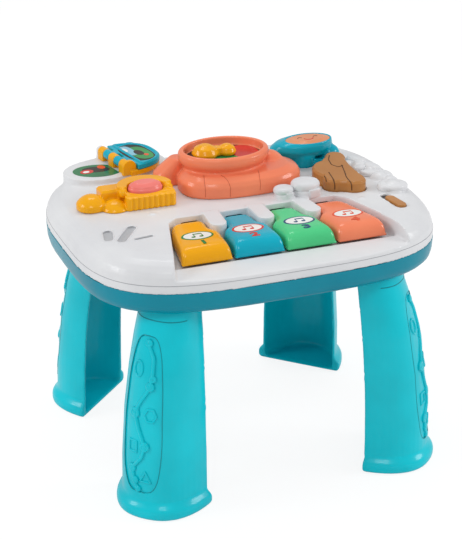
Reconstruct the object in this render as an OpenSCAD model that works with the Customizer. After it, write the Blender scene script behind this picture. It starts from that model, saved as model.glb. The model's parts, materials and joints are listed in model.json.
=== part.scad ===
// Musical activity table: a plug-in leg table with a keyboard, buttons, a flip page and a spinner.
// Millimetres, +Z up, +X to the right, +Y away from the player, origin on the floor below the centre.

/* [Table top] */
// Overall width of the table top
table_w = 330; // [315:1:360]
// Overall depth of the table top
table_d = 268; // [262:1:290]
// Squareness of the outline, 2 is an ellipse
outline_n = 3.5; // [3:0.1:4.5]
// Depth of the lower housing
housing_h = 21; // [20:0.5:24]
// Height of the upper deck above the rim
deck_h = 27; // [26:0.5:30]
// Height of the lip band round the deck
lip_h = 7; // [5:0.5:8]
// Wall of the housing and the deck
wall = 2.5; // [2:0.1:3]

/* [Legs] */
// Height of a leg from floor to shoulder
leg_h = 187; // [170:1:230]
// Leg centre, in from the side of the table top
leg_inset_x = 64; // [60:1:72]
// Leg centre, in from the front and back of the table top
leg_inset_y = 42; // [38:1:46]
// Half width of a leg at its shoulder
leg_top_w = 26.5; // [24:0.5:30]
// Half width of a leg above its foot
leg_foot_w = 40; // [34:0.5:42]
// Reach of the outer face at the shoulder
leg_top_out = 15; // [14.5:0.5:20]
// Reach of the outer face above the foot
leg_foot_out = 49; // [38:0.5:52]
// Reach of the open inner face at the shoulder
leg_top_in = 15; // [13.5:0.5:16]
// How far the open face moves outward at the foot
leg_in_shift = 18; // [10:0.5:20]
// Wall of a leg
leg_wall = 2.6; // [2:0.1:3.2]
// Height of the foot flange
foot_h = 15; // [12:0.5:20]
// How far the foot flange stands proud
foot_proud = 5; // [3:0.5:7]
// Width of the plug on top of a leg
plug_w = 29; // [28:0.5:36]
// Depth of the plug
plug_d = 22; // [20:0.5:23]
// Height of the plug
plug_h = 21; // [18:0.5:23]
// Clearance round the plug in its socket
plug_clear = 0.3; // [0.2:0.05:0.5]
// Wall of a plug socket
socket_wall = 2; // [1.5:0.1:2.4]

/* [Keyboard] */
// Middle of the keyboard, right of the table centre
kb_x = 5; // [0:1:8]
// Spacing of the keys at their front
key_pitch = 48.2; // [44:0.2:50]
// Front of the keys, forward of the table centre
key_front = 103; // [98:1:106]
// Back wall of the key bay, forward of the table centre
key_back = 31; // [28:1:34]
// How much the keys narrow from front to back
key_fan = 0.87; // [0.84:0.01:0.92]
// Gap between two keys
key_gap = 1.6; // [1:0.1:2.4]
// Top of the key front above the rim
key_top = 28; // [26:0.5:30]
// Lower edge of the keys above the rim
key_bottom = 12.7; // [12.5:0.1:13.5]
// Floor of the key bay above the rim
bay_floor = 9.5; // [9.3:0.1:9.8]
// Width of the raised blocks between the keys
block_w = 15.5; // [13:0.5:17]
// Length of the raised blocks
block_l = 31; // [26:0.5:36]
// Top of the raised blocks above the rim
block_top = 28.5; // [27.5:0.5:30]
// Radius of the key hinge rod
key_rod_r = 1.5; // [1.2:0.1:2]
// Wall of a key
key_wall = 2; // [1.6:0.1:2.4]

/* [Book] */
// Left-right place of the hinge line's middle
book_x = -84; // [-86:1:-80]
// Depth place of the hinge line's middle
book_y = 99; // [95:1:101]
// Turn of the book, seen from above
book_turn = 11; // [6:1:14]
// Length of the hinge barrel
barrel_l = 50; // [46:0.5:54]
// Radius of the hinge barrel
barrel_r = 4.6; // [4:0.1:5]
// Height of the hinge line above the platform
barrel_up = 7.3; // [6.8:0.1:8]
// Length of the page, outward from the hinge line
page_l = 41; // [38:0.5:43]
// Thickness of the page
page_t = 4.6; // [3.5:0.1:4.8]
// Radius of the hinge pin
book_pin_r = 1.5; // [1.2:0.1:1.8]
// Height of the white platform above the deck
platform_h = 5; // [4:0.5:6]

/* [Spinner bowl] */
// Left-right place of the bowl
bowl_x = 0; // [-2:1:2]
// Depth place of the bowl
bowl_y = 36; // [34:1:38]
// Half width of the bowl's opening
bowl_rx = 37.3; // [35:0.1:39]
// Half depth of the bowl's opening
bowl_ry = 26.9; // [26:0.1:29]
// Wall of the bowl
bowl_wall = 5.6; // [4.5:0.1:6.5]
// Top of the bowl's rim above the deck
bowl_h = 34; // [33:0.5:36]
// Floor of the bowl above the deck
bowl_floor = 26; // [24:0.5:27]
// Reach of the spinner's big lobe
spinner_r = 23.5; // [22:0.5:24]
// Radius of the spinner's axle
axle_r = 2.2; // [1.8:0.1:2.5]
// Running clearance of axles and hinge pins
run_clear = 0.06; // [0.04:0.01:0.09]

/* [Buttons] */
// Left-right place of the drum button
drum_x = 88; // [87:1:89]
// Depth place of the drum button
drum_y = 60; // [58:1:61]
// Half width of the drum button
drum_rx = 31; // [29:0.5:32]
// Half depth of the drum button
drum_ry = 20.5; // [19:0.5:21]
// Top of the drum button above the deck
drum_h = 25; // [24:0.5:27]
// Left-right place of the brown button
brown_x = 99; // [98:1:100]
// Depth place of the brown button
brown_y = -1; // [-2:1:0]
// Top of the brown button above the deck
brown_h = 9.5; // [9:0.5:11]
// Left-right place of the pink button
pink_x = -83; // [-84:1:-81]
// Depth place of the pink button
pink_y = 14; // [13:1:16]
// Half width of the pink button
pink_rx = 16; // [14:0.5:17]
// Half depth of the pink button
pink_ry = 11; // [10:0.5:12]
// Top of the pink button above the deck
pink_h = 20.5; // [19:0.5:22]
// Height of the yellow surround's wall above the deck
surround_h = 13.5; // [12:0.5:15]
// Travel of the press buttons
button_travel = 3; // [2:0.5:3]
// Gap between a press button and its opening
button_gap = 0.6; // [0.4:0.1:0.9]
// Left-right place of the slide switch
slide_x = 126; // [125:1:127]
// Depth place of the slide switch, forward of the centre
slide_y = 61; // [59:1:62]
// Length of the slide switch's slot
slot_l = 34; // [32:0.5:35]
// Width of the slide switch's slot
slot_w = 10; // [9:0.5:11]

/* [Inside] */
// Radius of the speaker
speaker_r = 25; // [20:0.5:26]
// Height of the speaker
speaker_h = 15; // [12:0.5:16]
// Thickness of the circuit boards
board_t = 1.6; // [1.2:0.1:2]
// Radius of an AA cell
cell_r = 7.1; // [6.9:0.1:7.2]
// Length of an AA cell
cell_l = 50.5; // [49:0.5:51]
// Radius of a screw shank
screw_r = 1.45; // [1.2:0.05:1.5]
// Radius of a screw head
screw_head_r = 2.8; // [2.4:0.1:3]
// Radius of a screw boss
boss_r = 4; // [3.8:0.1:4.5]

/* [Hidden] */
$fn = 48;
eps = 0.01;

teal = "#00BCC8";
housing_teal = "#0090A2";
white = "#E9EAEC";
yellow = "#F4AE1A";
coral = "#EF8A68";
key_blue_c = "#00A5C2";
key_green_c = "#4FC988";
brown = "#B87D43";
pink = "#F0786F";
red = "#D9504B";
silicone = "#B9BDC0";
board_green = "#2F6B45";
steel = "#B8BCC2";
dark = "#2B2D31";

// Levels, measured from the rim where housing and deck meet
rim_z = leg_h + housing_h;
floor_z = -housing_h + wall;
half_w = table_w / 2;
half_d = table_d / 2;

// The outer profile of the deck: [height above the rim, distance in from the outline]
deck_profile = [[0, 0], [lip_h, 0.3], [0.5 * deck_h, 1.7], [0.67 * deck_h, 4], [0.81 * deck_h, 7.5],
    [0.92 * deck_h, 13], [0.98 * deck_h, 22], [deck_h, 36]];
// The same for the housing, downward
housing_profile = [[-eps, 0], [-0.5 * housing_h, 0.6], [-0.74 * housing_h, 1.8], [-0.9 * housing_h, 4.5],
    [-0.98 * housing_h, 8.5], [-housing_h, 12]];

function power(v, e) = v < 0 ? -pow(-v, e) : pow(v, e);
// A rounded rectangle with bowed sides
function bowed(a, b, n, k) = [for (i = [0:k - 1])
    [a * power(cos(360 * i / k), 2 / n), b * power(sin(360 * i / k), 2 / n)]];
function ellipse(a, b, k = 48) = bowed(a, b, 2, k);
// Half of such an outline, flat on its lower side
function half_bowed(w, d, n = 2.4, k = 24) = [for (i = [0:k])
    [w * power(cos(180 * i / k), 2 / n), i == k ? 0 : d * pow(sin(180 * i / k), 2 / n)]];

module plate(points, t = eps) linear_extrude(t) polygon(points);

module table_solid(profile, inset = 0, drop = 0)
    hull() for (p = profile)
        translate([0, 0, p[0] + drop])
            plate(bowed(half_w - p[1] - inset, half_d - p[1] - inset, outline_n, 72));

module at_rim() translate([0, 0, rim_z]) children();

// A screw with its head down and its tip up; z = 0 is under the head
module screw(shank_l, head_t = 2) {
    cylinder(r = screw_r, h = shank_l);
    difference() {
        translate([0, 0, -head_t]) cylinder(r = screw_head_r, h = head_t);
        for (a = [0, 90])
            rotate(a) translate([-0.4, -1.5, -head_t - eps]) cube([0.8, 3, 1]);
    }
}

// ---------------------------------------------------------------- legs
leg_x = half_w - leg_inset_x;
leg_y = half_d - leg_inset_y;
leg_places = [[-leg_x, -leg_y, 135], [leg_x, -leg_y, 225], [-leg_x, leg_y, 45], [leg_x, leg_y, -45]];
plug_mid = plug_d / 2 - leg_top_in + 1;

// How far a leg has spread at height z, 0 at the shoulder and 1 at the floor
function spread(z) = 1 - pow(z / leg_h, 2.4);
function leg_half(z) = leg_top_w + (leg_foot_w - leg_top_w) * spread(z);
function leg_out(z) = leg_top_out + (leg_foot_out - leg_top_out) * spread(z);
function leg_in(z) = -leg_top_in + leg_in_shift * spread(z);
leg_levels = [0, 0.25, 0.5, 0.7, 0.85, 0.95];

module leg_section(z, inset)
    translate([0, -leg_top_in, z])
        plate(half_bowed(leg_half(z) - inset, leg_out(z) + leg_top_in - inset));

module leg_outer() hull() {
    for (f = leg_levels) leg_section(f * leg_h, 0);
    leg_section(leg_h - 3, 0);
    leg_section(leg_h - 2 * eps, 2);
}

module leg_cavity() hull() {
    leg_section(leg_wall, leg_wall);
    for (f = [0.25, 0.5, 0.7, 0.85, 0.95]) leg_section(f * leg_h, leg_wall);
    leg_section(leg_h - leg_wall - 0.4, leg_wall + 1);
}

module leg_flange() hull() {
    w = leg_half(0) + foot_proud;
    d = leg_out(0) + leg_top_in + foot_proud;
    translate([0, -leg_top_in, 0]) plate(half_bowed(w - 2, d - 2));
    translate([0, -leg_top_in, 2]) plate(half_bowed(w, d));
    translate([0, -leg_top_in, foot_h - 5]) plate(half_bowed(w, d));
    translate([0, -leg_top_in, foot_h - eps]) plate(half_bowed(w - foot_proud, d - foot_proud));
}

// The space in front of the open face, leaning outward towards the foot
module leg_open_side() {
    steps = [for (i = [0:12]) leg_h * i / 12];
    rotate([90, 0, 90]) translate([0, 0, -100]) linear_extrude(200)
        polygon(concat([for (z = steps) [leg_in(z), z]],
            [[leg_in(leg_h), leg_h + 1], [-90, leg_h + 1], [-90, -1], [leg_in(0), -1]]));
}

module plug() difference() {
    translate([-plug_w / 2, plug_mid - plug_d / 2, leg_h - eps]) cube([plug_w, plug_d, plug_h + eps]);
    translate([-plug_w / 2 + leg_wall, plug_mid - plug_d / 2 - 1, leg_h - 1])
        cube([plug_w - 2 * leg_wall, plug_d + 1 - leg_wall, plug_h + 1 - leg_wall]);
}

module leg(i) color(teal)
    translate([leg_places[i][0], leg_places[i][1], 0]) rotate(leg_places[i][2]) {
        difference() {
            union() {
                leg_outer();
                leg_flange();
            }
            leg_cavity();
            leg_open_side();
        }
        plug();
    }

// ---------------------------------------------------------------- screw places
housing_screw_at = [[-half_w + 17, 8], [half_w - 17, 8], [-38, -half_d + 14], [52, -half_d + 14],
    [-22, half_d - 15], [45, half_d - 15]];
boss_meet = -1;

// ---------------------------------------------------------------- battery tray
tray_x = 36;
tray_y = 44;
tray_w = 6 * cell_r + 5;
tray_l = cell_l + 11;
tray_top = floor_z - 0.3 + 2 * cell_r + 0.4;
door_t = 2;
door_tongue = 10;
door_screw_y = tray_y + tray_l / 2 + door_tongue / 2;

// ---------------------------------------------------------------- speaker
speaker_x = -48;
speaker_y = 66;

// ---------------------------------------------------------------- lower housing
module socket_block(i, grow, z0, z1) {
    p = leg_places[i];
    translate([p[0], p[1], z0]) rotate(p[2])
        translate([-plug_w / 2 - grow, plug_mid - plug_d / 2 - grow, 0])
            cube([plug_w + 2 * grow, plug_d + 2 * grow, z1 - z0]);
}

module lower_housing() color(housing_teal) at_rim() difference() {
    union() {
        difference() {
            table_solid(housing_profile);
            difference() {
                table_solid(housing_profile, wall, wall);
                translate([0, 0, -housing_h]) for (p = housing_screw_at)
                    translate(p) cylinder(r = boss_r, h = housing_h + boss_meet);
                translate([0, 0, -housing_h]) translate([speaker_x, speaker_y, 0])
                    cylinder(r = speaker_r + 2.3, h = wall + 4);
            }
        }
        for (i = [0:3])
            socket_block(i, plug_clear + socket_wall, -housing_h + eps,
                -housing_h + plug_h + 0.5 + socket_wall);
        translate([tray_x - tray_w / 2 - 3.5, tray_y - tray_l / 2 - 3.5, -housing_h + eps])
            cube([tray_w + 7, tray_l + door_tongue + 7, tray_top + housing_h + 2]);
    }
    // plug sockets, open below
    for (i = [0:3])
        socket_block(i, plug_clear, -housing_h - 1, -housing_h + plug_h + 0.5);
    // screw channels
    for (p = housing_screw_at) translate([p[0], p[1], -housing_h - 1]) {
        cylinder(r = screw_r + 0.15, h = housing_h + 2);
        cylinder(r = screw_head_r + 0.4, h = 8);
    }
    // speaker seat and its grille
    translate([speaker_x, speaker_y, floor_z]) cylinder(r = speaker_r + 0.3, h = 20);
    translate([speaker_x, speaker_y, -housing_h - 1]) {
        cylinder(r = 1.6, h = 6);
        for (ring = [1:3]) for (a = [0:360 / (6 * ring):359])
            rotate(a) translate([ring * 6, 0, 0]) cylinder(r = 1.6, h = 6);
    }
    // battery tray and the rebate of its door
    translate([tray_x - tray_w / 2, tray_y - tray_l / 2, -housing_h - 1])
        cube([tray_w, tray_l, tray_top + housing_h + 1]);
    translate([tray_x - tray_w / 2 - 1.5, tray_y - tray_l / 2 - 1.5, -housing_h - 1])
        cube([tray_w + 3, tray_l + 1.5 + door_tongue, door_t + 1]);
    translate([tray_x, door_screw_y, -housing_h]) cylinder(r = screw_r + 0.1, h = 12);
}

module battery_door() color(housing_teal) at_rim() {
    gap = 0.25;
    difference() {
        translate([tray_x - tray_w / 2 - 1.5 + gap, tray_y - tray_l / 2 - 1.5 + gap, -housing_h])
            cube([tray_w + 3 - 2 * gap, tray_l + 1.5 + door_tongue - 2 * gap, door_t]);
        translate([tray_x, door_screw_y, -housing_h - 1]) {
            cylinder(r = screw_r + 0.1, h = 5);
            cylinder(r = screw_head_r + 0.2, h = 2);
        }
        for (i = [0:4])
            translate([tray_x - 8, tray_y - tray_l / 2 + 4 + 2.4 * i, -housing_h - 1])
                cube([16, 1.2, 1.5]);
    }
}

module battery_door_screw() color(steel) at_rim()
    translate([tray_x, door_screw_y, -housing_h + 1]) screw(9, 0.9);

module battery_cells() color(dark) at_rim() for (i = [-1:1])
    translate([tray_x + i * (2 * cell_r + 1), tray_y, floor_z - 0.3 + cell_r]) rotate([90, 0, 180 * abs(i)]) {
        translate([0, 0, -cell_l / 2]) cylinder(r = cell_r, h = cell_l - 1.2);
        translate([0, 0, cell_l / 2 - 1.2 - eps]) cylinder(r = 2.6, h = 1.2);
    }

module battery_contacts() color(steel) at_rim()
    for (i = [-1:1]) for (s = [-1, 1])
        translate([tray_x + i * (2 * cell_r + 1), tray_y + s * (tray_l / 2 - 0.3), floor_z - 0.3 + cell_r]) {
            translate([-5.5, -0.25, -5.5]) cube([11, 0.5, 11]);
            rotate([90 * s, 0, 0]) for (k = [0:2])
                translate([0, 0, 0.25 + k * 1.55])
                    rotate_extrude() translate([4.2 - 0.7 * k, 0.75]) circle(r = 0.78, $fn = 16);
        }

// ---------------------------------------------------------------- upper deck
bay_back_half = 82;
bay_front_half = 109;
bay_front_y = -125;
apron_front = 8.6;

// Half width of the key bay at depth y
function bay_half(y) = bay_back_half
    + (bay_front_half - bay_back_half) * (-key_back - y) / (-key_back - bay_front_y);
// How far the keys have spread at depth y, 1 at their front
function fan(y) = key_fan + (1 - key_fan) * (-key_back - y) / (key_front - key_back);

module bay_plan(grow, y0) {
    y1 = -key_back + grow;
    polygon([[kb_x - bay_half(y0) - grow, y0], [kb_x + bay_half(y0) + grow, y0],
        [kb_x + bay_half(-key_back - 8) + grow, -key_back - 8],
        [kb_x + bay_half(-key_back) + grow - 6, y1],
        [kb_x - bay_half(-key_back) - grow + 6, y1],
        [kb_x - bay_half(-key_back - 8) - grow, -key_back - 8]]);
}

module bay_profile(drop)
    rotate([90, 0, 90]) translate([0, 0, -200]) linear_extrude(400)
        polygon([[-half_d - 20, apron_front - drop], [-key_front - 0.8 - drop / 3, key_bottom + 0.2 - drop],
            [-key_front - 0.8 - drop / 3, bay_floor - drop], [0, bay_floor - drop], [0, 80], [-half_d - 20, 80]]);

module bay_cut() intersection() {
    linear_extrude(90) bay_plan(0, -half_d - 20);
    bay_profile(0);
}

module bay_tub() intersection() {
    linear_extrude(90) bay_plan(wall, -half_d - 20);
    bay_profile(wall);
}

block_round = block_w / 2;
function block_x(i, y) = kb_x + i * key_pitch * fan(y);
module key_block(i, grow, z0, z1) {
    y_end = -key_back - block_l;
    translate([0, 0, z0]) linear_extrude(z1 - z0) {
        polygon([[block_x(i, -key_back) - block_w / 2 - grow, -key_back + 4],
            [block_x(i, -key_back) + block_w / 2 + grow, -key_back + 4],
            [block_x(i, y_end) + block_w / 2 + grow, y_end + block_round],
            [block_x(i, y_end) - block_w / 2 - grow, y_end + block_round]]);
        translate([block_x(i, y_end), y_end + block_round]) circle(r = block_w / 2 + grow);
    }
}

platform_rx = 51;
platform_ry = 28;
platform_foot = 8;
module book_frame() translate([book_x, book_y, deck_h + platform_h]) rotate(book_turn) children();
// A place given in the table's frame, from inside the book's frame
module book_screw_place(p) rotate(-book_turn) translate([p[0] - book_x, p[1] - book_y, 0]) children();

post_t = 4;
post_r = 4;
module back_post() book_frame() translate([0, barrel_l / 2 + 0.3, 0]) difference() {
    union() {
        translate([-post_r, 0, -4]) cube([2 * post_r, post_t, 4 + barrel_up]);
        translate([0, post_t, barrel_up]) rotate([90, 0, 0]) cylinder(r = post_r, h = post_t);
    }
    translate([0, post_t - 1.5, barrel_up]) rotate([90, 0, 0]) cylinder(r = book_pin_r + run_clear, h = post_t);
}

// Points of a dome's side, from its edge at radius r up to its top at height h
function cap_points(r, h, ball_r, start) =
    [for (k = [6:-1:0]) [ball_r * sin(start * k / 6), h - ball_r + ball_r * cos(start * k / 6)]];
dome_round = 1.15;
// A domed disc of radius r and height h, on whatever lies below
module dome(r, h, under = 3) rotate_extrude()
    polygon(concat([[0, -under], [r, -under]], cap_points(r, h, dome_round * r, asin(1 / dome_round))));

// A domed knob with a block in front of it
module ornament(x, y, r, h) translate([x, y, deck_h]) {
    dome(r, h, 1.3);
    translate([-r * 0.1, -r * 0.9, -1]) cube([r, r * 0.8, h * 0.3 + 1]);
}

module deck_relief() {
    // round knob by the slide switch, then two moulded shapes along the right edge
    translate([137, -36, deck_h]) dome(11.5, 8.5, 6);
    translate([139, -5, deck_h - 1]) dome(9, 6.5, 8);
    translate([145, -15, deck_h - 2]) dome(8, 6, 8);
    translate([124, 33, deck_h]) dome(7, 5, 3);
    translate([132, 26, deck_h - 1]) dome(9, 7, 6);
    translate([139, 14, deck_h - 1]) dome(7.5, 5.5, 8);
    // two small pips
    translate([-86, -14, deck_h - 1]) cylinder(r = 2.2, h = 2);
    translate([101, -46.5, deck_h - 1]) cylinder(r = 2, h = 1.8);
}

slot_turn = -82;
module slot_plan(l, w) {
    square([l - w, w], center = true);
    for (s = [-1, 1]) translate([s * (l - w) / 2, 0]) circle(r = w / 2);
}
module at_slide() translate([slide_x, -slide_y, deck_h]) rotate(slot_turn) children();

// Outlines of the press buttons at the deck, seen from above
drum_lobe = [-1.5, -5.5];
drum_lobe_r = 12;
drum_ear = [26, -7.5];
module drum_plan(grow) {
    translate([2.5, 10]) polygon(ellipse(drum_rx - 9 + grow, drum_ry - 6.5 + grow));
    translate(drum_lobe) circle(r = drum_lobe_r + grow);
    translate(drum_ear) circle(r = 9 + grow);
    polygon([[-8, -10 - grow], [22, -14 - grow], [26 + 0.83 * grow, 0.55 * grow],
        [18 + 0.83 * grow, 12 + 0.55 * grow], [-12, 10]]);
}
brown_body = [[-3.3, 6, 19], [10, 30.5, 9.5], [-8.8, -12, 11], [6.2, -20, 11]];
module brown_plan(grow) {
    for (c = brown_body) translate([c[0], c[1]]) circle(r = c[2] + grow);
    polygon([[-11, -22 - grow], [6, -30.5 - grow], [16.5 + grow, -19], [15.2 + grow, 6], [16.8 + grow, 25],
        [3 - 0.7 * grow, 35 + 0.7 * grow], [-13 - 0.7 * grow, 19 + 0.7 * grow], [-18.5 - grow, -8]]);
}
module pink_plan(grow) polygon(ellipse(pink_rx + grow, pink_ry + grow));

stem_r = 5;
stem_gap = 0.35;
skirt_foot = deck_h - wall;
well_floor = skirt_foot - button_travel - 1;
guide_foot = 12;
button_places = [[drum_x, drum_y], [brown_x, brown_y], [pink_x, pink_y]];

board_z = 3;
board_top = board_z + board_t;
main_board_box = [[30, -26], [126, 70]];
main_screw_at = [[39.5, -14], [121, -21], [35, 8], [121, 34]];
button_board_box = [[pink_x - 24, pink_y - 10], [pink_x + 24, pink_y + 10]];
button_screw_at = [[pink_x - 20, pink_y], [pink_x + 20, pink_y]];
key_board_z = -1;
key_board_top = key_board_z + board_t;
key_board_box = [[kb_x - 94, -69], [kb_x + 94, -43]];
key_screw_at = [for (f = [-1.85, -1, 1, 1.85]) [kb_x + f * key_pitch * 0.93, -52]];
bowl_screw_at = [[bowl_x - 33, bowl_y - 22], [bowl_x + 42, bowl_y - 20], [bowl_x - 4, bowl_y + 27]];
surround_screw_at = [[pink_x - 40, pink_y + 2], [pink_x + 20, pink_y + 18]];
book_screw_at = [[book_x + 24, book_y - 4]];

rod_y = -key_back + 8;
rod_z = 16.5;
rod_half = 2 * key_pitch * key_fan + 1;
bracket_at = [for (i = [-1:1]) block_x(i, -key_back)];

module deck_inside_keep() {
    bay_tub();
    // bosses that meet the housing's
    for (p = housing_screw_at) translate([p[0], p[1], 0]) cylinder(r = boss_r, h = deck_h);
    // bosses for the boards and trims
    for (p = main_screw_at) translate([p[0], p[1], board_top]) cylinder(r = boss_r - 0.6, h = deck_h);
    for (p = button_screw_at) translate([p[0], p[1], board_top]) cylinder(r = boss_r - 0.6, h = deck_h);
    for (p = key_screw_at) translate([p[0], p[1], key_board_top]) cylinder(r = boss_r - 0.6, h = 8);
    // wells of the press buttons and their guide tubes
    for (p = button_places) translate([p[0], p[1], guide_foot])
        cylinder(r = stem_r + stem_gap + 2, h = well_floor - guide_foot);
    translate([drum_x, drum_y, well_floor - 2]) linear_extrude(20) drum_plan(button_gap + 2);
    translate([brown_x, brown_y, well_floor - 2]) linear_extrude(20) brown_plan(button_gap + 2);
    translate([pink_x, pink_y, well_floor - 2]) linear_extrude(20) pink_plan(button_gap + 2);
    // brackets of the key rod
    for (x = bracket_at) translate([x - 3, rod_y - 4.5, 11]) cube([6, 9, 20]);
    for (s = [-1, 1]) translate([kb_x + s * (rod_half - 2) - 2, rod_y - 4.5, 11]) cube([4, 9, 20]);
    // seat of the slide switch
    at_slide() translate([-slot_l / 2 - 4, -slot_w / 2 - 3, -9]) cube([slot_l + 8, slot_w + 6, 9]);
}

module upper_deck() color(white) at_rim() difference() {
    union() {
        difference() {
            table_solid(deck_profile);
            difference() {
                translate([0, 0, -eps]) table_solid(deck_profile, wall, -wall + eps);
                deck_inside_keep();
            }
            bay_cut();
            // groove above the lip band
            translate([0, 0, lip_h]) linear_extrude(0.8) difference() {
                square([2 * table_w, 2 * table_d], center = true);
                polygon(bowed(half_w - 0.9, half_d - 0.9, outline_n, 72));
            }
        }
        for (p = housing_screw_at) translate([p[0], p[1], boss_meet]) cylinder(r = boss_r, h = 3);
        for (p = key_screw_at) translate([p[0], p[1], key_board_top]) cylinder(r = boss_r - 0.6, h = 7);
        for (i = [-1:1]) key_block(i, 0, bay_floor - 1, block_top);
        book_frame() translate([0, 0, platform_foot - deck_h - platform_h])
            linear_extrude(deck_h + platform_h - platform_foot)
                polygon(bowed(platform_rx, platform_ry, 2.4, 48));
        back_post();
        ornament(37, -20, 9, 9);
        ornament(58, -19, 12.5, 12);
        deck_relief();
    }
    // the platform's underside follows the deck's wall
    book_frame() translate([0, 0, platform_foot - 1 - deck_h - platform_h])
        linear_extrude(deck_h + platform_h - platform_foot + 1 - wall)
            polygon(bowed(platform_rx - wall, platform_ry - wall, 2.4, 48));
    // plungers of the keys
    for (k = [0:3]) translate([key_mid(k, plunger_y), plunger_y, 0]) cylinder(r = 4.5, h = 20);
    // windows for the key arms
    for (k = [0:3]) translate([key_mid(k, -key_back) - arm_w / 2 - 1, -key_back - 2, bay_floor])
        cube([arm_w + 2, wall + 4, 12.5]);
    translate([kb_x - rod_half, rod_y, rod_z]) rotate([0, 90, 0]) cylinder(r = key_rod_r + run_clear, h = 2 * rod_half);
    // openings of the press buttons
    translate([drum_x, drum_y, well_floor]) linear_extrude(15) drum_plan(button_gap);
    translate([brown_x, brown_y, well_floor]) linear_extrude(15) brown_plan(button_gap);
    translate([pink_x, pink_y, well_floor]) linear_extrude(15) pink_plan(button_gap);
    for (p = button_places) translate([p[0], p[1], 5]) cylinder(r = stem_r + stem_gap, h = 30);
    // slot and bed of the slide switch
    at_slide() {
        translate([0, 0, -9.5]) linear_extrude(12) slot_plan(slot_l, slot_w);
        translate([-slot_l / 2 - 2, -slot_w / 2 - 1.5, -10]) cube([slot_l + 4, slot_w + 3, 7.5]);
    }
    // three pressed marks and the screw channels
    for (m = [[-137, -46, 76, 23, 9], [-121, -48.5, 54.5, 37, 8.5], [-110, -61.5, 9, 19, 4.5]])
        translate([m[0], m[1], deck_h - 1]) rotate(m[2]) linear_extrude(3) slot_plan(m[3], m[4]);
    for (p = housing_screw_at) translate([p[0], p[1], -5]) cylinder(r = screw_r + 0.05, h = 14);
    for (p = main_screw_at) translate([p[0], p[1], 0]) cylinder(r = screw_r + 0.05, h = 14);
    for (p = button_screw_at) translate([p[0], p[1], 0]) cylinder(r = screw_r + 0.05, h = 14);
    for (p = key_screw_at) translate([p[0], p[1], -1]) cylinder(r = screw_r + 0.05, h = 8.5);
    for (p = concat(bowl_screw_at, surround_screw_at))
        translate([p[0], p[1], deck_h - 8]) cylinder(r = screw_r + 0.1, h = 20);
    for (p = book_screw_at) translate([p[0], p[1], deck_h]) cylinder(r = screw_r + 0.1, h = 20);
}

// ---------------------------------------------------------------- keyboard
plunger_y = -60;
arm_w = 14;
function key_mid(k, y) = kb_x + (k - 1.5) * key_pitch * fan(y);
function key_edge(k, side, y, inset) =
    key_mid(k, y) + side * (key_pitch * fan(y) / 2 - key_gap / 2 - inset);
key_rear = -key_back - 1;
module key_plan(k, inset, front_inset) polygon([
    [key_edge(k, -1, -key_front, inset), -key_front + front_inset],
    [key_edge(k, 1, -key_front, inset), -key_front + front_inset],
    [key_edge(k, 1, key_rear, inset), key_rear - inset],
    [key_edge(k, -1, key_rear, inset), key_rear - inset]]);
key_slope = 2.8;
key_layers = [[0, 0, 0], [0.45, 0.5, 0.6], [0.8, 2, 4], [1, 4.5, 10]];

// The upper layers fall towards the back
module key_solid(k, inset, drop) hull() for (l = key_layers)
    translate([0, -key_front, key_bottom + l[0] * (key_top - key_bottom) - (l[0] > 0 ? drop : 0)])
        rotate([-key_slope * l[0], 0, 0]) translate([0, key_front, 0])
            linear_extrude(eps) key_plan(k, l[1] + inset, l[2] + inset);

// A key stays clear of the bay's back wall and its slanted corners
module key_body(k, inset, drop) intersection() {
    key_solid(k, inset, drop);
    linear_extrude(60) bay_plan(-key_gap - inset, -half_d - 20);
}

module key(k, tint) color(tint) at_rim() difference() {
    union() {
        difference() {
            key_body(k, 0, 0);
            translate([0, 0, -eps]) key_body(k, key_wall, key_wall);
            // room for the raised blocks
            for (i = [-1:1]) key_block(i, key_gap * 0.7, key_bottom - 1, key_top + 5);
        }
        // walls round the notches
        intersection() {
            key_body(k, 0.2, 0.2);
            difference() {
                union() for (i = [-1:1]) key_block(i, key_gap * 0.7 + key_wall, key_bottom, key_top);
                for (i = [-1:1]) key_block(i, key_gap * 0.7, key_bottom - 1, key_top + 5);
            }
        }
        translate([key_mid(k, plunger_y), plunger_y, key_board_top + pad_h])
            cylinder(r = 3, h = key_top - key_wall - 1.5 - key_board_top - pad_h);
        translate([key_mid(k, -key_back) - arm_w / 2, key_rear - 3, rod_z - 3.2])
            cube([arm_w, rod_y - key_rear + 3, 6.4]);
        translate([key_mid(k, -key_back) - arm_w / 2, rod_y, rod_z]) rotate([0, 90, 0]) cylinder(r = 3.2, h = arm_w);
    }
    translate([key_mid(k, -key_back) - arm_w, rod_y, rod_z]) rotate([0, 90, 0])
        cylinder(r = key_rod_r + run_clear, h = 2 * arm_w);
}

module key_hinge_rod() color(steel) at_rim()
    translate([kb_x - rod_half + 0.5, rod_y, rod_z]) rotate([0, 90, 0]) cylinder(r = key_rod_r, h = 2 * rod_half - 1);

pad_h = 4;
module key_pad(k) color(silicone) at_rim()
    translate([key_mid(k, plunger_y), plunger_y, key_board_top]) {
        cylinder(r = 6, h = 1);
        cylinder(r1 = 4.6, r2 = 3.4, h = pad_h);
    }

module board(box, z, holes) difference() {
    translate([box[0][0], box[0][1], z]) cube([box[1][0] - box[0][0], box[1][1] - box[0][1], board_t]);
    for (p = holes) translate([p[0], p[1], z - 1]) cylinder(r = screw_r + 0.1, h = board_t + 2);
}
module screws(places, z, l) for (p = places) translate([p[0], p[1], z]) screw(l);

module key_board() color(board_green) at_rim() board(key_board_box, key_board_z, key_screw_at);
module key_board_screws() color(steel) at_rim() screws(key_screw_at, key_board_z, 7);

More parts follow.
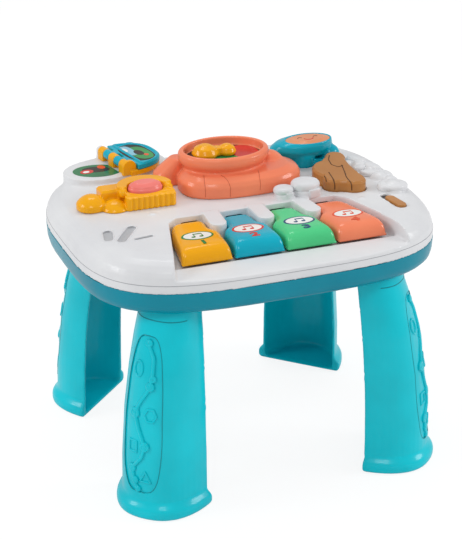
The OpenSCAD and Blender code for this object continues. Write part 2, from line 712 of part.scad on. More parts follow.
// ---------------------------------------------------------------- press buttons
module stem(p, top) translate([p[0], p[1], board_top + pad_h])
    cylinder(r = stem_r, h = top - board_top - pad_h);
module pad(p) color(silicone) at_rim() translate([p[0], p[1], board_top]) {
    cylinder(r = 8, h = 1);
    cylinder(r1 = 6, r2 = 4.8, h = pad_h);
}

// Layers of the drum, leaning forward: [height share, shrink, shift right, shift back]
drum_foot = button_travel + 0.4;
drum_layers = [[drum_foot / drum_h, 9, 2.5, 10], [0.36, 1, 0.5, 4], [0.6, 0, 0, 1], [0.81, 3, 1.5, -1.5],
    [0.93, 7.5, 4.7, -3.5]];
drum_face_h = 0.93 * drum_h;
face_shift = [4.7, -3.5];
face_rx = drum_rx - 9;
face_ry = drum_ry - 7;
face_sink = 2;

// A post with a ball on it, cut off inside the post
module round_post(r, h) {
    cylinder(r = r, h = h);
    translate([0, 0, h]) intersection() {
        sphere(r = r + 0.35);
        translate([0, 0, -0.4 * r]) cylinder(r = 2 * r, h = 2 * r);
    }
}

module drum_button() color(key_blue_c) at_rim() {
    stem([drum_x, drum_y], deck_h + 3);
    translate([drum_x, drum_y, 0]) {
        translate([0, 0, skirt_foot]) linear_extrude(deck_h - skirt_foot + drum_foot + 1) drum_plan(-0.01);
        difference() {
            hull() for (l = drum_layers)
                translate([l[2], l[3], deck_h + l[0] * drum_h])
                    plate(ellipse(drum_rx - l[1], drum_ry - 0.8 * l[1]), 0.2);
            translate([face_shift[0], face_shift[1], deck_h + drum_face_h - face_sink + eps])
                linear_extrude(9) polygon(ellipse(face_rx, face_ry));
        }
        translate([drum_lobe[0], drum_lobe[1], deck_h]) round_post(drum_lobe_r - 0.1, 8);
        translate([drum_ear[0], drum_ear[1], deck_h]) round_post(8.9, 7);
    }
}

module drum_face() color("#E0936A") at_rim()
    translate([drum_x + face_shift[0], drum_y + face_shift[1], deck_h + drum_face_h - face_sink + 2 * eps])
        hull() {
            plate(ellipse(face_rx - 0.2, face_ry - 0.2), face_sink - 0.5);
            translate([0, 0, face_sink + 0.8]) plate(ellipse(face_rx - 6, face_ry - 4), 0.2);
        }

// The brown button's top rises towards its back
brown_rise = 4;
module below_slope(h) translate([0, -31, deck_h + h]) rotate([brown_rise, 0, 0])
    translate([-60, -30, -80]) cube([120, 140, 80]);
module brown_button() color(brown) at_rim() {
    stem([brown_x, brown_y], deck_h);
    translate([brown_x, brown_y, 0]) {
        intersection() {
            translate([0, 0, skirt_foot]) linear_extrude(40) brown_plan(-0.01);
            below_slope(brown_h - 1.5);
        }
        intersection() {
            translate([0, 0, deck_h]) linear_extrude(40) brown_plan(-1.3);
            below_slope(brown_h);
        }
    }
}

module pink_button() color(pink) at_rim() {
    stem([pink_x, pink_y], deck_h);
    translate([pink_x, pink_y, 0]) {
        translate([0, 0, skirt_foot]) linear_extrude(deck_h - skirt_foot + pink_h - 5) pink_plan(0);
        hull() {
            translate([0, 0, deck_h + pink_h - 5.5]) plate(ellipse(pink_rx - 0.4, pink_ry - 0.4));
            translate([0, 0, deck_h + pink_h - 2.5]) plate(ellipse(pink_rx - 1.5, pink_ry - 1.5));
            translate([0, 0, deck_h + pink_h - eps]) plate(ellipse(pink_rx - 6, pink_ry - 5));
        }
    }
}

// ---------------------------------------------------------------- yellow surround
rib_r = 2.6;
rib_step = 5;
module button_surround() color(yellow) at_rim() difference() {
    translate([0, 0, deck_h + eps]) {
        // body round the pink button
        translate([pink_x - 20, 2, 0]) cube([44, 33, surround_h]);
        translate([pink_x - 22, -1, 0]) cube([46, 6, surround_h - 1]);
        // ribs of the front wall
        for (k = [0:8]) translate([pink_x - 19 + k * rib_step, 0, 0]) cylinder(r = rib_r, h = surround_h - 1.5);
        // arch behind the button
        translate([pink_x, pink_y + 2, 0]) linear_extrude(surround_h + 4) difference() {
            polygon(ellipse(pink_rx + 9, pink_ry + 11));
            translate([-60, -62]) square([120, 60]);
        }
        // rounded lumps at the left, and a block with two small balls
        translate([pink_x - 49, pink_y + 4, 0]) dome(13.5, 13, 0);
        translate([pink_x - 30, pink_y - 4, 0]) dome(13, 8.5, 0);
        hull() {
            translate([pink_x - 40, pink_y + 2, 0]) cube([22, 16, 13]);
            translate([pink_x - 38, pink_y + 4, 13]) cube([19, 13, 2]);
        }
        for (s = [-1, 1]) translate([pink_x + s * (pink_rx + 5), pink_y - 2, surround_h - 1]) sphere(r = 4.4);
    }
    translate([pink_x, pink_y, deck_h - 1]) linear_extrude(40) pink_plan(button_gap);
    for (p = surround_screw_at) translate([p[0], p[1], deck_h - 1]) cylinder(r = screw_r + 0.05, h = 7);
}

// ---------------------------------------------------------------- spinner bowl
// Rim of the bowl: [height share, distance in from the widest line]
rim_layers = [[0.6, 4.5], [0.72, 1.2], [0.82, 0], [0.94, 0.5], [1, 2.8]];
neck_in = 5;
module spinner_bowl() color(coral) at_rim() difference() {
    translate([bowl_x, bowl_y, deck_h + eps]) {
        linear_extrude(0.7 * bowl_h)
            polygon(ellipse(bowl_rx + bowl_wall - neck_in, bowl_ry + bowl_wall - neck_in, 64));
        hull() for (l = rim_layers) translate([0, 0, l[0] * bowl_h])
            plate(ellipse(bowl_rx + bowl_wall - l[1], bowl_ry + bowl_wall - l[1], 64));
        // skirt with its lobes
        translate([11.5, -10, 0]) hull() {
            plate(bowed(57.5, 33, 2.5, 64), 10);
            translate([0, 0, 13.5]) plate(bowed(55, 30.5, 2.5, 64), 1);
            translate([-2, 2, 17]) plate(bowed(48, 26, 2.5, 64), 1);
        }
        // arm that slopes down to the left
        hull() {
            translate([-48, 19, 0]) plate(ellipse(13, 13, 32), 10);
            translate([-46.5, 19, 14]) plate(ellipse(9.5, 9.5, 32), 1);
            translate([-38, 16, 23]) plate(ellipse(8, 9, 32), 1);
        }
        translate([46, 3, 0]) dome(13, 24, 0);
    }
    translate([bowl_x, bowl_y, deck_h + bowl_floor])
        linear_extrude(40) polygon(ellipse(bowl_rx, bowl_ry, 64));
    // hollow below the floor, with the posts of the axle and the screws left standing
    translate([bowl_x, bowl_y, deck_h - 1])
        linear_extrude(bowl_floor - 1.5) difference() {
            polygon(ellipse(bowl_rx - neck_in, bowl_ry - neck_in, 64));
            translate([spinner_off, 2]) circle(r = axle_r + 3);
        }
    translate([bowl_x + spinner_off, bowl_y + 2, deck_h + 8]) cylinder(r = axle_r + run_clear, h = 40);
    for (p = bowl_screw_at) translate([p[0], p[1], deck_h - 1]) cylinder(r = screw_r + 0.05, h = 7);
}

module bowl_floor_print() color("#3D7A4C") at_rim() translate([bowl_x, bowl_y, deck_h + bowl_floor])
    linear_extrude(0.3) difference() {
        polygon(ellipse(bowl_rx - 0.4, bowl_ry - 0.4, 64));
        translate([spinner_off, 2]) circle(r = axle_r + 1);
    }

spinner_off = -6;
lobe_r = 12.5;
small_r = 9;
hub_h = 7.5;
module spinner_frame() at_rim() translate([bowl_x + spinner_off, bowl_y + 2, deck_h + bowl_floor + 0.8]) children();
module lobe(r, h) hull() {
    plate(ellipse(0.88 * r, 0.88 * r, 32));
    translate([0, 0, 0.3 * h]) plate(ellipse(r, r, 32));
    translate([0, 0, 0.75 * h]) plate(ellipse(0.78 * r, 0.78 * r, 32));
    translate([0, 0, h]) plate(ellipse(0.36 * r, 0.36 * r, 32));
}
module spinner() color(yellow) spinner_frame() difference() {
    union() {
        translate([lobe_r - spinner_r, 0, 0]) lobe(lobe_r, 11);
        translate([small_r + 1, 0, 0]) lobe(small_r, 9);
        cylinder(r = 5, h = hub_h);
    }
    translate([0, 0, -1]) cylinder(r = axle_r + run_clear, h = hub_h - 0.5);
}
module spinner_axle() color(steel) at_rim()
    translate([bowl_x + spinner_off, bowl_y + 2, deck_h + 8]) cylinder(r = axle_r, h = bowl_floor + 0.8 - 8 + hub_h - 2);

// ---------------------------------------------------------------- flip book
knuckle_gap = 0.35;
knuckles = 5;
knuckle_l = barrel_l / knuckles;
page_half_w = barrel_l / 2 + 5.5;
page_start = barrel_r + 2.8;
ear_r = barrel_r + 2.2;
ear_t = 4;
base_t = barrel_up - page_t / 2 - 0.4;
// Left edge of cut number i along the barrel
function knuckle_y(i) = -barrel_l / 2 + i * knuckle_l;
module along_barrel(y, l) translate([0, y + l, barrel_up]) rotate([90, 0, 0]) linear_extrude(l) children();
module knuckle(i) along_barrel(knuckle_y(i) + knuckle_gap / 2, knuckle_l - knuckle_gap) circle(r = barrel_r);
module barrel_room(i) along_barrel(knuckle_y(i) - knuckle_gap / 2, knuckle_l + knuckle_gap)
    circle(r = barrel_r + 0.5);
module barrel_bore() along_barrel(-barrel_l / 2 - ear_t + 0.8, barrel_l + 2 * ear_t)
    circle(r = book_pin_r + run_clear);
module page_plan(l, w, start) intersection() {
    translate([0, -2]) polygon(bowed(l, w, 2.6, 48));
    translate([start, -60]) square([80, 120]);
}

module book_base() color(yellow) at_rim() book_frame() difference() {
    union() {
        linear_extrude(base_t) page_plan(page_l - 0.6, page_half_w, 0);
        for (i = [0, 2, 4]) {
            knuckle(i);
            translate([-barrel_r, knuckle_y(i) + knuckle_gap / 2, 0])
                cube([2 * barrel_r, knuckle_l - knuckle_gap, barrel_up]);
        }
        // front ear
        along_barrel(-barrel_l / 2 - ear_t, ear_t) circle(r = ear_r);
        translate([-ear_r, -barrel_l / 2 - ear_t, 0]) cube([2 * ear_r, ear_t, barrel_up]);
    }
    for (i = [1, 3]) barrel_room(i);
    barrel_bore();
    translate([-20, barrel_l / 2 + 0.2, -1]) cube([26, 12, 30]);
    for (p = book_screw_at) book_screw_place(p) cylinder(r = screw_r + 0.05, h = base_t - 0.8);
}

module book_page() color(key_blue_c) at_rim() book_frame() difference() {
    union() {
        translate([0, 0, barrel_up - page_t / 2]) linear_extrude(page_t)
            page_plan(page_l, page_half_w, page_start);
        for (i = [1, 3]) {
            knuckle(i);
            translate([0, knuckle_y(i) + knuckle_gap / 2, barrel_up - page_t / 2])
                cube([page_start + 1, knuckle_l - knuckle_gap, page_t]);
        }
        // finger tab at the far edge
        translate([0.72 * page_l, page_half_w - 6, barrel_up - 1.2]) cylinder(r = 5, h = 2.4);
    }
    barrel_bore();
}

module book_hinge_pin() color(steel) at_rim() book_frame()
    along_barrel(-barrel_l / 2 - ear_t + 1, barrel_l + ear_t + post_t - 2.8) circle(r = book_pin_r);

module platform_print() color("#2E6A45") at_rim() book_frame() difference() {
    translate([-20.5, -3, 0]) rotate(-2 * book_turn) linear_extrude(0.3) polygon(ellipse(22.5, 15.5));
    translate([-barrel_r - 0.3, -30, -1]) cube([30, 60, 3]);
}

// ---------------------------------------------------------------- slide switch
slide_travel = 7;
knob_rest = slide_travel / 2;
knob_l = slot_l - slide_travel - 0.6;
module slide_knob() color(brown) at_rim() at_slide() translate([knob_rest, 0, 0]) {
    translate([0, 0, -4.2]) linear_extrude(5.4) slot_plan(knob_l, slot_w - 1.2);
    translate([0, 0, -6.6]) linear_extrude(2.5) square([knob_l - 3, slot_w + 2], center = true);
}
module slide_switch() color(dark) at_rim() at_slide()
    translate([-slot_l / 2 - 1, -slot_w / 2 - 1, -9.8]) cube([slot_l + 2, slot_w + 2, 2.9]);

// ---------------------------------------------------------------- boards
module main_board() color(board_green) at_rim() difference() {
    board(main_board_box, board_z, main_screw_at);
}
module main_board_screws() color(steel) at_rim() screws(main_screw_at, board_z, 8);
module button_board() color(board_green) at_rim() board(button_board_box, board_z, button_screw_at);
module button_board_screws() color(steel) at_rim() screws(button_screw_at, board_z, 8);
module board_chips() color(dark) at_rim() translate([0, 0, board_top]) {
    translate([50, -16, 0]) cube([14, 10, 1.8]);
    translate([70, -18, 0]) cube([8, 6, 1.5]);
    translate([48, 20, 0]) cube([10, 6, 4]);
    translate([58, 40, 0]) cylinder(r = 3, h = 7);
    translate([66, 44, 0]) cylinder(r = 3, h = 7);
}

// ---------------------------------------------------------------- speaker
module speaker_at() at_rim() translate([speaker_x, speaker_y, floor_z]) children();
module speaker_frame() color(steel) speaker_at() difference() {
    union() {
        cylinder(r = speaker_r, h = 2);
        translate([0, 0, 2 - eps]) cylinder(r1 = speaker_r - 3, r2 = 12, h = speaker_h - 7);
    }
    translate([0, 0, -1]) cylinder(r = speaker_r - 4, h = 2);
    translate([0, 0, 1 - eps]) cylinder(r1 = speaker_r - 4, r2 = 10.5, h = speaker_h - 6 - 1);
    translate([0, 0, speaker_h - 7]) cylinder(r = 8, h = 10);
}
module speaker_cone() color(dark) speaker_at() difference() {
    translate([0, 0, 1]) cylinder(r1 = speaker_r - 4.6, r2 = 7, h = speaker_h - 8);
    translate([0, 0, 1 - eps]) cylinder(r1 = speaker_r - 5.4, r2 = 6, h = speaker_h - 9);
}
module speaker_magnet() color(dark) speaker_at() translate([0, 0, speaker_h - 5]) cylinder(r = 13, h = 5);
module speaker_clamp() color(steel) speaker_at() for (a = [45, 165, 285]) rotate(a) {
    translate([speaker_r - 2.5, -3, 2]) cube([2.2, 6, 2 + eps]);
    translate([speaker_r - 2.5, -3, 4]) cube([4.8, 6, 1]);
}

// ---------------------------------------------------------------- leads
speaker_route = [[-35, 48.5, -15.2], [-33, 46, -13.2], [-31, 43.5, -13.2], [-28, 40, -15], [-22, 33, -17],
    [-12, 26, -17], [-4, 16, -16.5], [2, 8, -13.5], [8, 2, -8], [14, -2, -2], [22, -6, 2.6], [30, -8, 3.8]];
battery_route = [[34, 9.75, -6], [34, 8, -6], [34, 5, -8], [33, -1, -9], [33, -9, -8], [33.5, -16, -4], [34, -20, -0.5],
    [34.5, -23, 1.75]];
key_route = [[20, -43, -0.2], [20, -38, -1.5], [24, -32, -3], [34, -28, -3], [41, -24, -1], [46, -21, 1.55]];

// A round tube along a route of points
module tube(route, r, sides = 8) {
    n = len(route);
    function dir(i) = let(a = route[max(i - 1, 0)], b = route[min(i + 1, n - 1)], d = b - a) d / norm(d);
    rings = [for (i = [0:n - 1]) let(d = dir(i), s0 = cross(d, [0, 0, 1]), s = s0 / norm(s0), u = cross(s, d))
        for (k = [0:sides - 1]) route[i] + r * (cos(360 * k / sides) * s + sin(360 * k / sides) * u)];
    sides_faces = [for (i = [0:n - 2]) for (k = [0:sides - 1])
        let(a = i * sides + k, b = i * sides + (k + 1) % sides)
        for (t = [[a, a + sides, b + sides], [a, b + sides, b]]) t];
    polyhedron(points = rings, faces = concat([[for (k = [0:sides - 1]) k]], sides_faces,
        [[for (k = [sides - 1:-1:0]) (n - 1) * sides + k]]));
}
module speaker_lead() color(red) at_rim() tube(speaker_route, 1.2);
module battery_lead() color(red) at_rim() tube(battery_route, 1.2);
module key_board_lead() color(dark) at_rim() tube(key_route, 1.4);

// ---------------------------------------------------------------- screws
module housing_screws() color(steel) at_rim() for (p = housing_screw_at)
    translate([p[0], p[1], -housing_h + 7]) screw(housing_h);
module trim_screws() color(steel) at_rim() {
    screws(concat(bowl_screw_at, surround_screw_at), deck_h - wall, 7);
    screws(book_screw_at, deck_h + platform_h - wall, wall + base_t - 1.2);
}

leg(0);  // leg_front_left
leg(1);  // leg_front_right
leg(2);  // leg_rear_left
leg(3);  // leg_rear_right
lower_housing();
upper_deck();
button_surround();
spinner_bowl();
bowl_floor_print();
book_base();
book_hinge_pin();
platform_print();
book_page();
key(0, yellow);  // key_yellow
key(1, key_blue_c);  // key_blue
key(2, key_green_c);  // key_green
key(3, coral);  // key_coral
key_hinge_rod();
key_board();
key_pad(0);  // key_pad_yellow
key_pad(1);  // key_pad_blue
key_pad(2);  // key_pad_green
key_pad(3);  // key_pad_coral
key_board_screws();
spinner();
spinner_axle();
drum_button();
drum_face();
pad(button_places[0]);  // drum_pad
brown_button();
pad(button_places[1]);  // brown_pad
pink_button();
pad(button_places[2]);  // pink_pad
button_board();
button_board_screws();
slide_knob();
slide_switch();
main_board();
board_chips();
main_board_screws();
speaker_frame();
speaker_cone();
speaker_magnet();
speaker_clamp();
speaker_lead();
battery_lead();
key_board_lead();
battery_cells();
battery_contacts();
battery_door();
battery_door_screw();
housing_screws();
trim_screws();
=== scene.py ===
# %% [markdown]
# # A musical activity table
#
# The real toy is a shallow plastic table on four plug-in legs, covered with
# moulded toys: piano keys, a bowl with a spinner, press buttons, a flip book
# and a slide switch. The engineering model already holds every solid at its
# real size. It could be painted as it stands, but moulded plastic has no
# sharp edges, so this notebook dresses it: edges become soft, prints and
# grooves are added, and each surface gets the plastic, paper or metal that it
# is made of. Blender counts in metres, so millimetres are multiplied by MM.

# %% Load the engineering model
import json
import math

import bpy
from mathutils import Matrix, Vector


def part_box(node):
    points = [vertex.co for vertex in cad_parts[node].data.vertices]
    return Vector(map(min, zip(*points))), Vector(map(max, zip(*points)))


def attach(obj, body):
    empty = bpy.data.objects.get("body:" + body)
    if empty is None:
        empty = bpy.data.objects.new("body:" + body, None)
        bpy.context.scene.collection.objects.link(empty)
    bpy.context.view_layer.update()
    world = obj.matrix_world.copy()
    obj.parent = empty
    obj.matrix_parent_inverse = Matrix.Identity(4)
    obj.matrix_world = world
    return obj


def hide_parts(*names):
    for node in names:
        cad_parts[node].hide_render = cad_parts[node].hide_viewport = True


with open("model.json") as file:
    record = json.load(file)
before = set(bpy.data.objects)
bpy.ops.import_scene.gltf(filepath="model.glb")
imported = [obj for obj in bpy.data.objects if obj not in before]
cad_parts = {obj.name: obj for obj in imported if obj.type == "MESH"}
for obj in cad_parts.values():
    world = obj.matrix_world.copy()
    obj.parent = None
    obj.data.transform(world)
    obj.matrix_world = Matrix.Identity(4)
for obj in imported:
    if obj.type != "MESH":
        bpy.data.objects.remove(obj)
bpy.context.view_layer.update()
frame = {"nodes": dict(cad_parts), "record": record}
MM = 0.001

# %% [markdown]
# The camera comes first, so that every later step can be judged from the same
# place. A short lens close by would make the nearest leg look huge. A long
# lens from further away keeps the four legs alike, so the camera stands well
# back and a little to the left, and looks down by about 24 degrees.

# %% Camera
LENS = 120  # mm, on a sensor that is 36 mm wide
LOOK_DOWN = 24.1  # degrees below the horizon
LOOK_ROUND = -21.2  # degrees from straight on
camera_data = bpy.data.cameras.new("camera")
camera_data.lens = LENS
camera_data.sensor_width = 36
camera = bpy.data.objects.new("camera", camera_data)
bpy.context.scene.collection.objects.link(camera)
camera.location = (-0.551, -1.404, 0.836)
camera.rotation_euler = (math.radians(90 - LOOK_DOWN), 0, math.radians(LOOK_ROUND))
bpy.context.scene.camera = camera
print("the camera is", round(camera.location.length, 2), "m away")

# %% [markdown]
# Colours are written as sRGB hex values, the numbers that a colour picker
# gives. Blender's shaders add light up, so they need linear values. They could
# be typed in by hand, but one function that turns the one kind into the other
# keeps the familiar numbers in view.

# %% Colours


def linear(code):
    """An sRGB hex colour as linear light, with alpha."""
    values = [int(code[i : i + 2], 16) / 255 for i in (1, 3, 5)]
    return [
        *(v / 12.92 if v <= 0.04045 else ((v + 0.055) / 1.055) ** 2.4 for v in values),
        1,
    ]


print("mid grey sends back", round(linear("#808080")[0], 2), "of what white does")

# %% [markdown]
# A material is a small tree of nodes. One helper adds a node, sets it and
# links it, so that each tree stays short enough to read. Every tree starts
# from Object coordinates. They count metres on the piece itself, so a pattern
# keeps its real size and moves with its piece. A noise's scale is then the
# number of its lumps in one metre.

# %% The node helper and the pattern sizes
CLOUDS = 18  # lumps of 56 mm: the slow drift of the pigment
WAVES = 160  # lumps of 6 mm: the skin's slight waviness
LINES = 900  # lumps of 1.1 mm: tool lines, as coarse as they need to be to show
BROUGHT = len(bpy.data.materials)  # the engineering model brings plain ones along


def add(tree, kind, links=(), **settings):
    """Adds a node: a setting is a socket's value or the node's own property."""
    node = tree.nodes.new("ShaderNode" + kind)
    for name, value in settings.items():
        if hasattr(node, name) and name not in node.inputs:
            setattr(node, name, value)
        else:
            node.inputs[name.replace("_", " ")].default_value = value
    for target, source in links:
        tree.links.new(node.inputs[target], source)
    return node


def new_material(name):
    """A material, its tree, its shader and its Object coordinates."""
    material = bpy.data.materials.new(name)
    material.use_nodes = True
    tree = material.node_tree
    shader = tree.nodes["Principled BSDF"]
    coords = add(tree, "TexCoord").outputs["Object"]
    return material, tree, shader, coords


for label, scale in (("clouds", CLOUDS), ("waves", WAVES), ("lines", LINES)):
    print(label, "are", round(1 / scale / MM, 1), "mm wide")

# %% [markdown]
# Nearly everything here is injection-moulded ABS: a smooth gloss, a colour
# that goes right through, and a very slight waviness where the mould cooled.
# A single flat colour would look like paint. So a slow noise drifts between
# two near shades, a finer one bends the light a little through a bump, and a
# thin clear coat gives the highlight of a polished mould. One function makes
# all the plastics, so that they look like parts of one toy.

# %% Moulded plastic


def moulded(name, light, shade, roughness=0.22, grain=0.03, coat=0.5):
    """Moulded plastic: two near shades in slow clouds, and a faint waviness."""
    material, tree, shader, coords = new_material(name)
    clouds = add(tree, "TexNoise", [("Vector", coords)], Scale=CLOUDS, Detail=3)
    blend = add(tree, "ValToRGB", [("Fac", clouds.outputs["Fac"])])
    blend.color_ramp.elements[0].position = 0.35
    blend.color_ramp.elements[1].position = 0.65
    blend.color_ramp.elements[0].color = linear(shade)
    blend.color_ramp.elements[1].color = linear(light)
    tree.links.new(shader.inputs["Base Color"], blend.outputs["Color"])
    waves = add(tree, "TexNoise", [("Vector", coords)], Scale=WAVES, Detail=2)
    height = [("Height", waves.outputs["Fac"])]
    bump = add(tree, "Bump", height, Strength=grain, Distance=0.6 * MM)
    tree.links.new(shader.inputs["Normal"], bump.outputs["Normal"])
    for socket, value in (
        ("Roughness", roughness),
        ("IOR", 1.5),
        ("Specular IOR Level", 0.2),
        ("Coat Weight", 0.35 * coat),
        ("Coat Roughness", 0.06),
    ):
        shader.inputs[socket].default_value = value
    return material


# The table top is a little duller than the toys on it, so that they stand out
DECK_WHITE = moulded("white_abs", "#DFE0E2", "#D8D9DC", 0.3, 0.02, 0.35)
HOUSING_TEAL = moulded("deep_teal_abs", "#008CA2", "#008197", 0.3, 0.02, 0.15)
# The legs' moulds are larger and less polished: a broad, soft highlight
LEG_TEAL = moulded("turquoise_abs", "#00CCDB", "#00C2D1", 0.28)
# The toys have the full gloss of small polished moulds, in clear warm colours
YELLOW = moulded("sunflower_abs", "#F6AE0A", "#EFA606")
CORAL = moulded("coral_abs", "#F58C66", "#EF835F")
PINK = moulded("salmon_abs", "#F3837A", "#ED786F")
BLUE = moulded("bright_teal_abs", "#00AEC6", "#00A4BC")
GREEN = moulded("mint_green_abs", "#54D08B", "#49C680")
# A wood-brown plastic with a finely eroded skin: its highlights are wider
BROWN = moulded("caramel_abs", "#BA8046", "#AC733C", 0.32)
print(len(bpy.data.materials) - BROUGHT, "plastics")

# %% [markdown]
# The parts inside are made of other things. Nylon and silicone are matt, a
# circuit board has a dull green lacquer, a speaker cone is pressed paper, and
# the printed films on top are smooth and glossy. The same function makes them
# with other roughness, grain and coat, because at this size they differ from
# the shells in their gloss and their skin alone.

# %% Other plastics, paper and film
# A thick ink on film: smooth, between matt and glossy
ORANGE = moulded("face_orange_print", "#E39A71", "#DA8E64")
# Matt and slightly rough: hardly any highlight
BLACK_PLASTIC = moulded("black_nylon", "#1E1F22", "#141518", 0.5, 0.1, 0)
SILICONE = moulded("grey_silicone", "#C4C5C7", "#B9BABD", 0.6, 0.1, 0)
# Lacquered laminate: the weave below shows as a light grain
BOARD = moulded("circuit_board_laminate", "#1F6B3A", "#175A2F", 0.45, 0.1, 0.2)
# Soft wire sleeve: an even satin
LEAD = moulded("red_wire_sleeve", "#B8232A", "#A81D24", 0.45, 0.05, 0)
# Paper pulp: rough and without gloss
CONE = moulded("pressed_paper_cone", "#26262A", "#1B1B1E", 0.8, 0.4, 0)
# Shrunk jacket and printed film: tight, smooth and glossy
CELL = moulded("cell_jacket", "#3D4A57", "#313C47", 0.35, 0.02, 0.3)
PRINT_GREEN = moulded("print_dark_green", "#2F7A4B", "#205C3A", 0.2, 0.01, 0.6)
print(len(bpy.data.materials) - BROUGHT, "materials so far")

# %% [markdown]
# Screws and contacts are steel with a thin plating, and the speaker's magnet
# is dark sintered ferrite. Metal has no colour below its shine, so these turn
# Metallic fully on and take their look from roughness, and from fine lines
# that a tool leaves.

# %% Metals


def metal(name, light, shade, roughness):
    """Plated steel, with fine lines left by the tool."""
    material, tree, shader, coords = new_material(name)
    lines = add(tree, "TexNoise", [("Vector", coords)], Scale=LINES, Detail=2)
    blend = add(tree, "ValToRGB", [("Fac", lines.outputs["Fac"])])
    blend.color_ramp.elements[0].color = linear(shade)
    blend.color_ramp.elements[1].color = linear(light)
    tree.links.new(shader.inputs["Base Color"], blend.outputs["Color"])
    shader.inputs["Metallic"].default_value = 1
    shader.inputs["Roughness"].default_value = roughness
    return material


# Satin grey, bright and almost mirror-like, and dull dark grey
STEEL = metal("zinc_plated_steel", "#C9CBCE", "#AEB1B5", 0.35)
NICKEL = metal("nickel_plate", "#DADBDD", "#C2C4C7", 0.2)
MAGNET = metal("ferrite_magnet", "#5A5B60", "#3E3F43", 0.6)
print(len(bpy.data.materials) - BROUGHT, "materials with the metals")

# %% [markdown]
# Each CAD node that stays takes the material of its slot. Most of these are
# inside the table, where a repairer would find them. Setting them one by one
# would be easy to get wrong, so a table of slots does it for all.

# %% Materials by slot
SLOT_MATERIALS = {
    "leg_plastic": LEG_TEAL,
    "housing_plastic": HOUSING_TEAL,
    "deck_plastic": DECK_WHITE,
    "yellow_plastic": YELLOW,
    "coral_plastic": CORAL,
    "blue_plastic": BLUE,
    "green_plastic": GREEN,
    "orange_plastic": ORANGE,
    "brown_plastic": BROWN,
    "pink_plastic": PINK,
    "printed_film": PRINT_GREEN,
    "screw_steel": STEEL,
    "silicone": SILICONE,
    "circuit_board": BOARD,
    "chip_plastic": BLACK_PLASTIC,
    "cone_paper": CONE,
    "magnet_iron": MAGNET,
    "lead_plastic": LEAD,
    "cell_metal": CELL,
    "contact_metal": NICKEL,
}
NODE_SLOT = {s["node"]: s["material_slot"] for s in frame["record"]["subparts"]}
for node_name, node_object in frame["nodes"].items():
    node_object.data.materials.clear()
    node_object.data.materials.append(SLOT_MATERIALS[NODE_SLOT[node_name]])
print("materials set on", len(NODE_SLOT), "nodes")

# %% [markdown]
# An operator acts on all that is selected, and after loading that is every
# node. So a few small helpers choose one object first, and then give it a
# modifier or work on its mesh in edit mode. Every modifier is applied at once,
# so that each step can be seen and measured before the next one.

# %% Working on one object
print(len(bpy.context.selected_objects), "objects are selected after loading")


def only(obj):
    """Selects one object and makes it the active one."""
    bpy.ops.object.select_all(action="DESELECT")
    obj.select_set(True)
    bpy.context.view_layer.objects.active = obj


def modify(obj, kind, **settings):
    """Adds a modifier with its settings and applies it at once."""
    only(obj)
    modifier = obj.modifiers.new(kind.lower(), kind)
    for name, value in settings.items():
        setattr(modifier, name, value)
    bpy.ops.object.modifier_apply(modifier=modifier.name)


def select_mesh():
    """Selects the whole mesh in edit mode."""
    bpy.ops.mesh.select_all(action="SELECT")


def in_edit(obj, *steps):
    """Runs mesh operators on the whole of one object in edit mode."""
    only(obj)
    bpy.ops.object.mode_set(mode="EDIT")
    select_mesh()
    for step in steps:
        step()
    bpy.ops.object.mode_set(mode="OBJECT")


def merge():
    """Joins points that lie in one place."""
    bpy.ops.mesh.remove_doubles(threshold=0.01 * MM)


def soft_edges(obj, degrees):
    """Shades smooth across edges that bend less than this."""
    only(obj)
    bpy.ops.object.shade_smooth_by_angle(angle=math.radians(degrees))


# %% [markdown]
# A dressed piece starts as a twin of its solid, so that it has the right size
# and place from the start. A CAD node's mesh is loose triangles, which no
# modifier could smooth, so the twin is merged first. Once it is finished, the
# piece hangs on the body that carries it, and the nodes it stands for are hidden.

# %% From a solid to a piece


def twin(node):
    """A copy of a CAD node's mesh, merged, ready to be shaped."""
    source = frame["nodes"][node]
    obj = bpy.data.objects.new(node + "_moulded", source.data.copy())
    bpy.context.scene.collection.objects.link(obj)
    in_edit(obj, merge)
    return obj


def place(obj, body, slot, material, *nodes):
    """Gives a finished piece its body and material, and hides the nodes it stands for;
    the slot is not used.
    """
    obj.data.materials.clear()
    obj.data.materials.append(material)
    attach(obj, body)
    if nodes:
        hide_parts(*nodes)
    return obj


shell = frame["nodes"]["upper_deck"].data
print("the shell is", len(shell.polygons), "loose triangles")

# %% [markdown]
# The four legs are hollow half-round mouldings with a rounded foot. Moulded
# parts have no sharp edges: the steel mould is cut with a round tool, and the
# plastic shrinks as it cools. Bevels on so many crossing edges would tear, so
# a voxel remesh turns each solid into an even skin, and rounds of smoothing
# melt its edges, which also blends lumps that meet. The voxel, here 0.95 mm,
# sets how small an edge survives.

# %% Skins of the legs


def melt(node, body, slot, material, voxel, rounds, keep=None):
    """A smooth moulded skin in place of a CAD node."""
    obj = twin(node)
    modify(obj, "REMESH", mode="VOXEL", voxel_size=voxel * MM, adaptivity=0)
    modify(obj, "SMOOTH", factor=0.5, iterations=rounds)
    if keep:
        modify(obj, "DECIMATE", ratio=keep)
    soft_edges(obj, 60)
    return place(obj, body, slot, material, node)


LEG_NAMES = ("front_left", "front_right", "rear_left", "rear_right")
legs = {
    name: melt("leg_" + name, "legs", "leg_plastic", LEG_TEAL, 0.95, 14)
    for name in LEG_NAMES
}
print("the front left leg has", len(legs["front_left"].data.polygons), "faces")

# %% [markdown]
# The white shell and the toys on it get the same skin. The smaller a part's
# details are, the finer its voxels, and the softer the real part looks, the
# more rounds of smoothing it gets. The shell is the largest piece, so its
# flat stretches are thinned out afterwards.

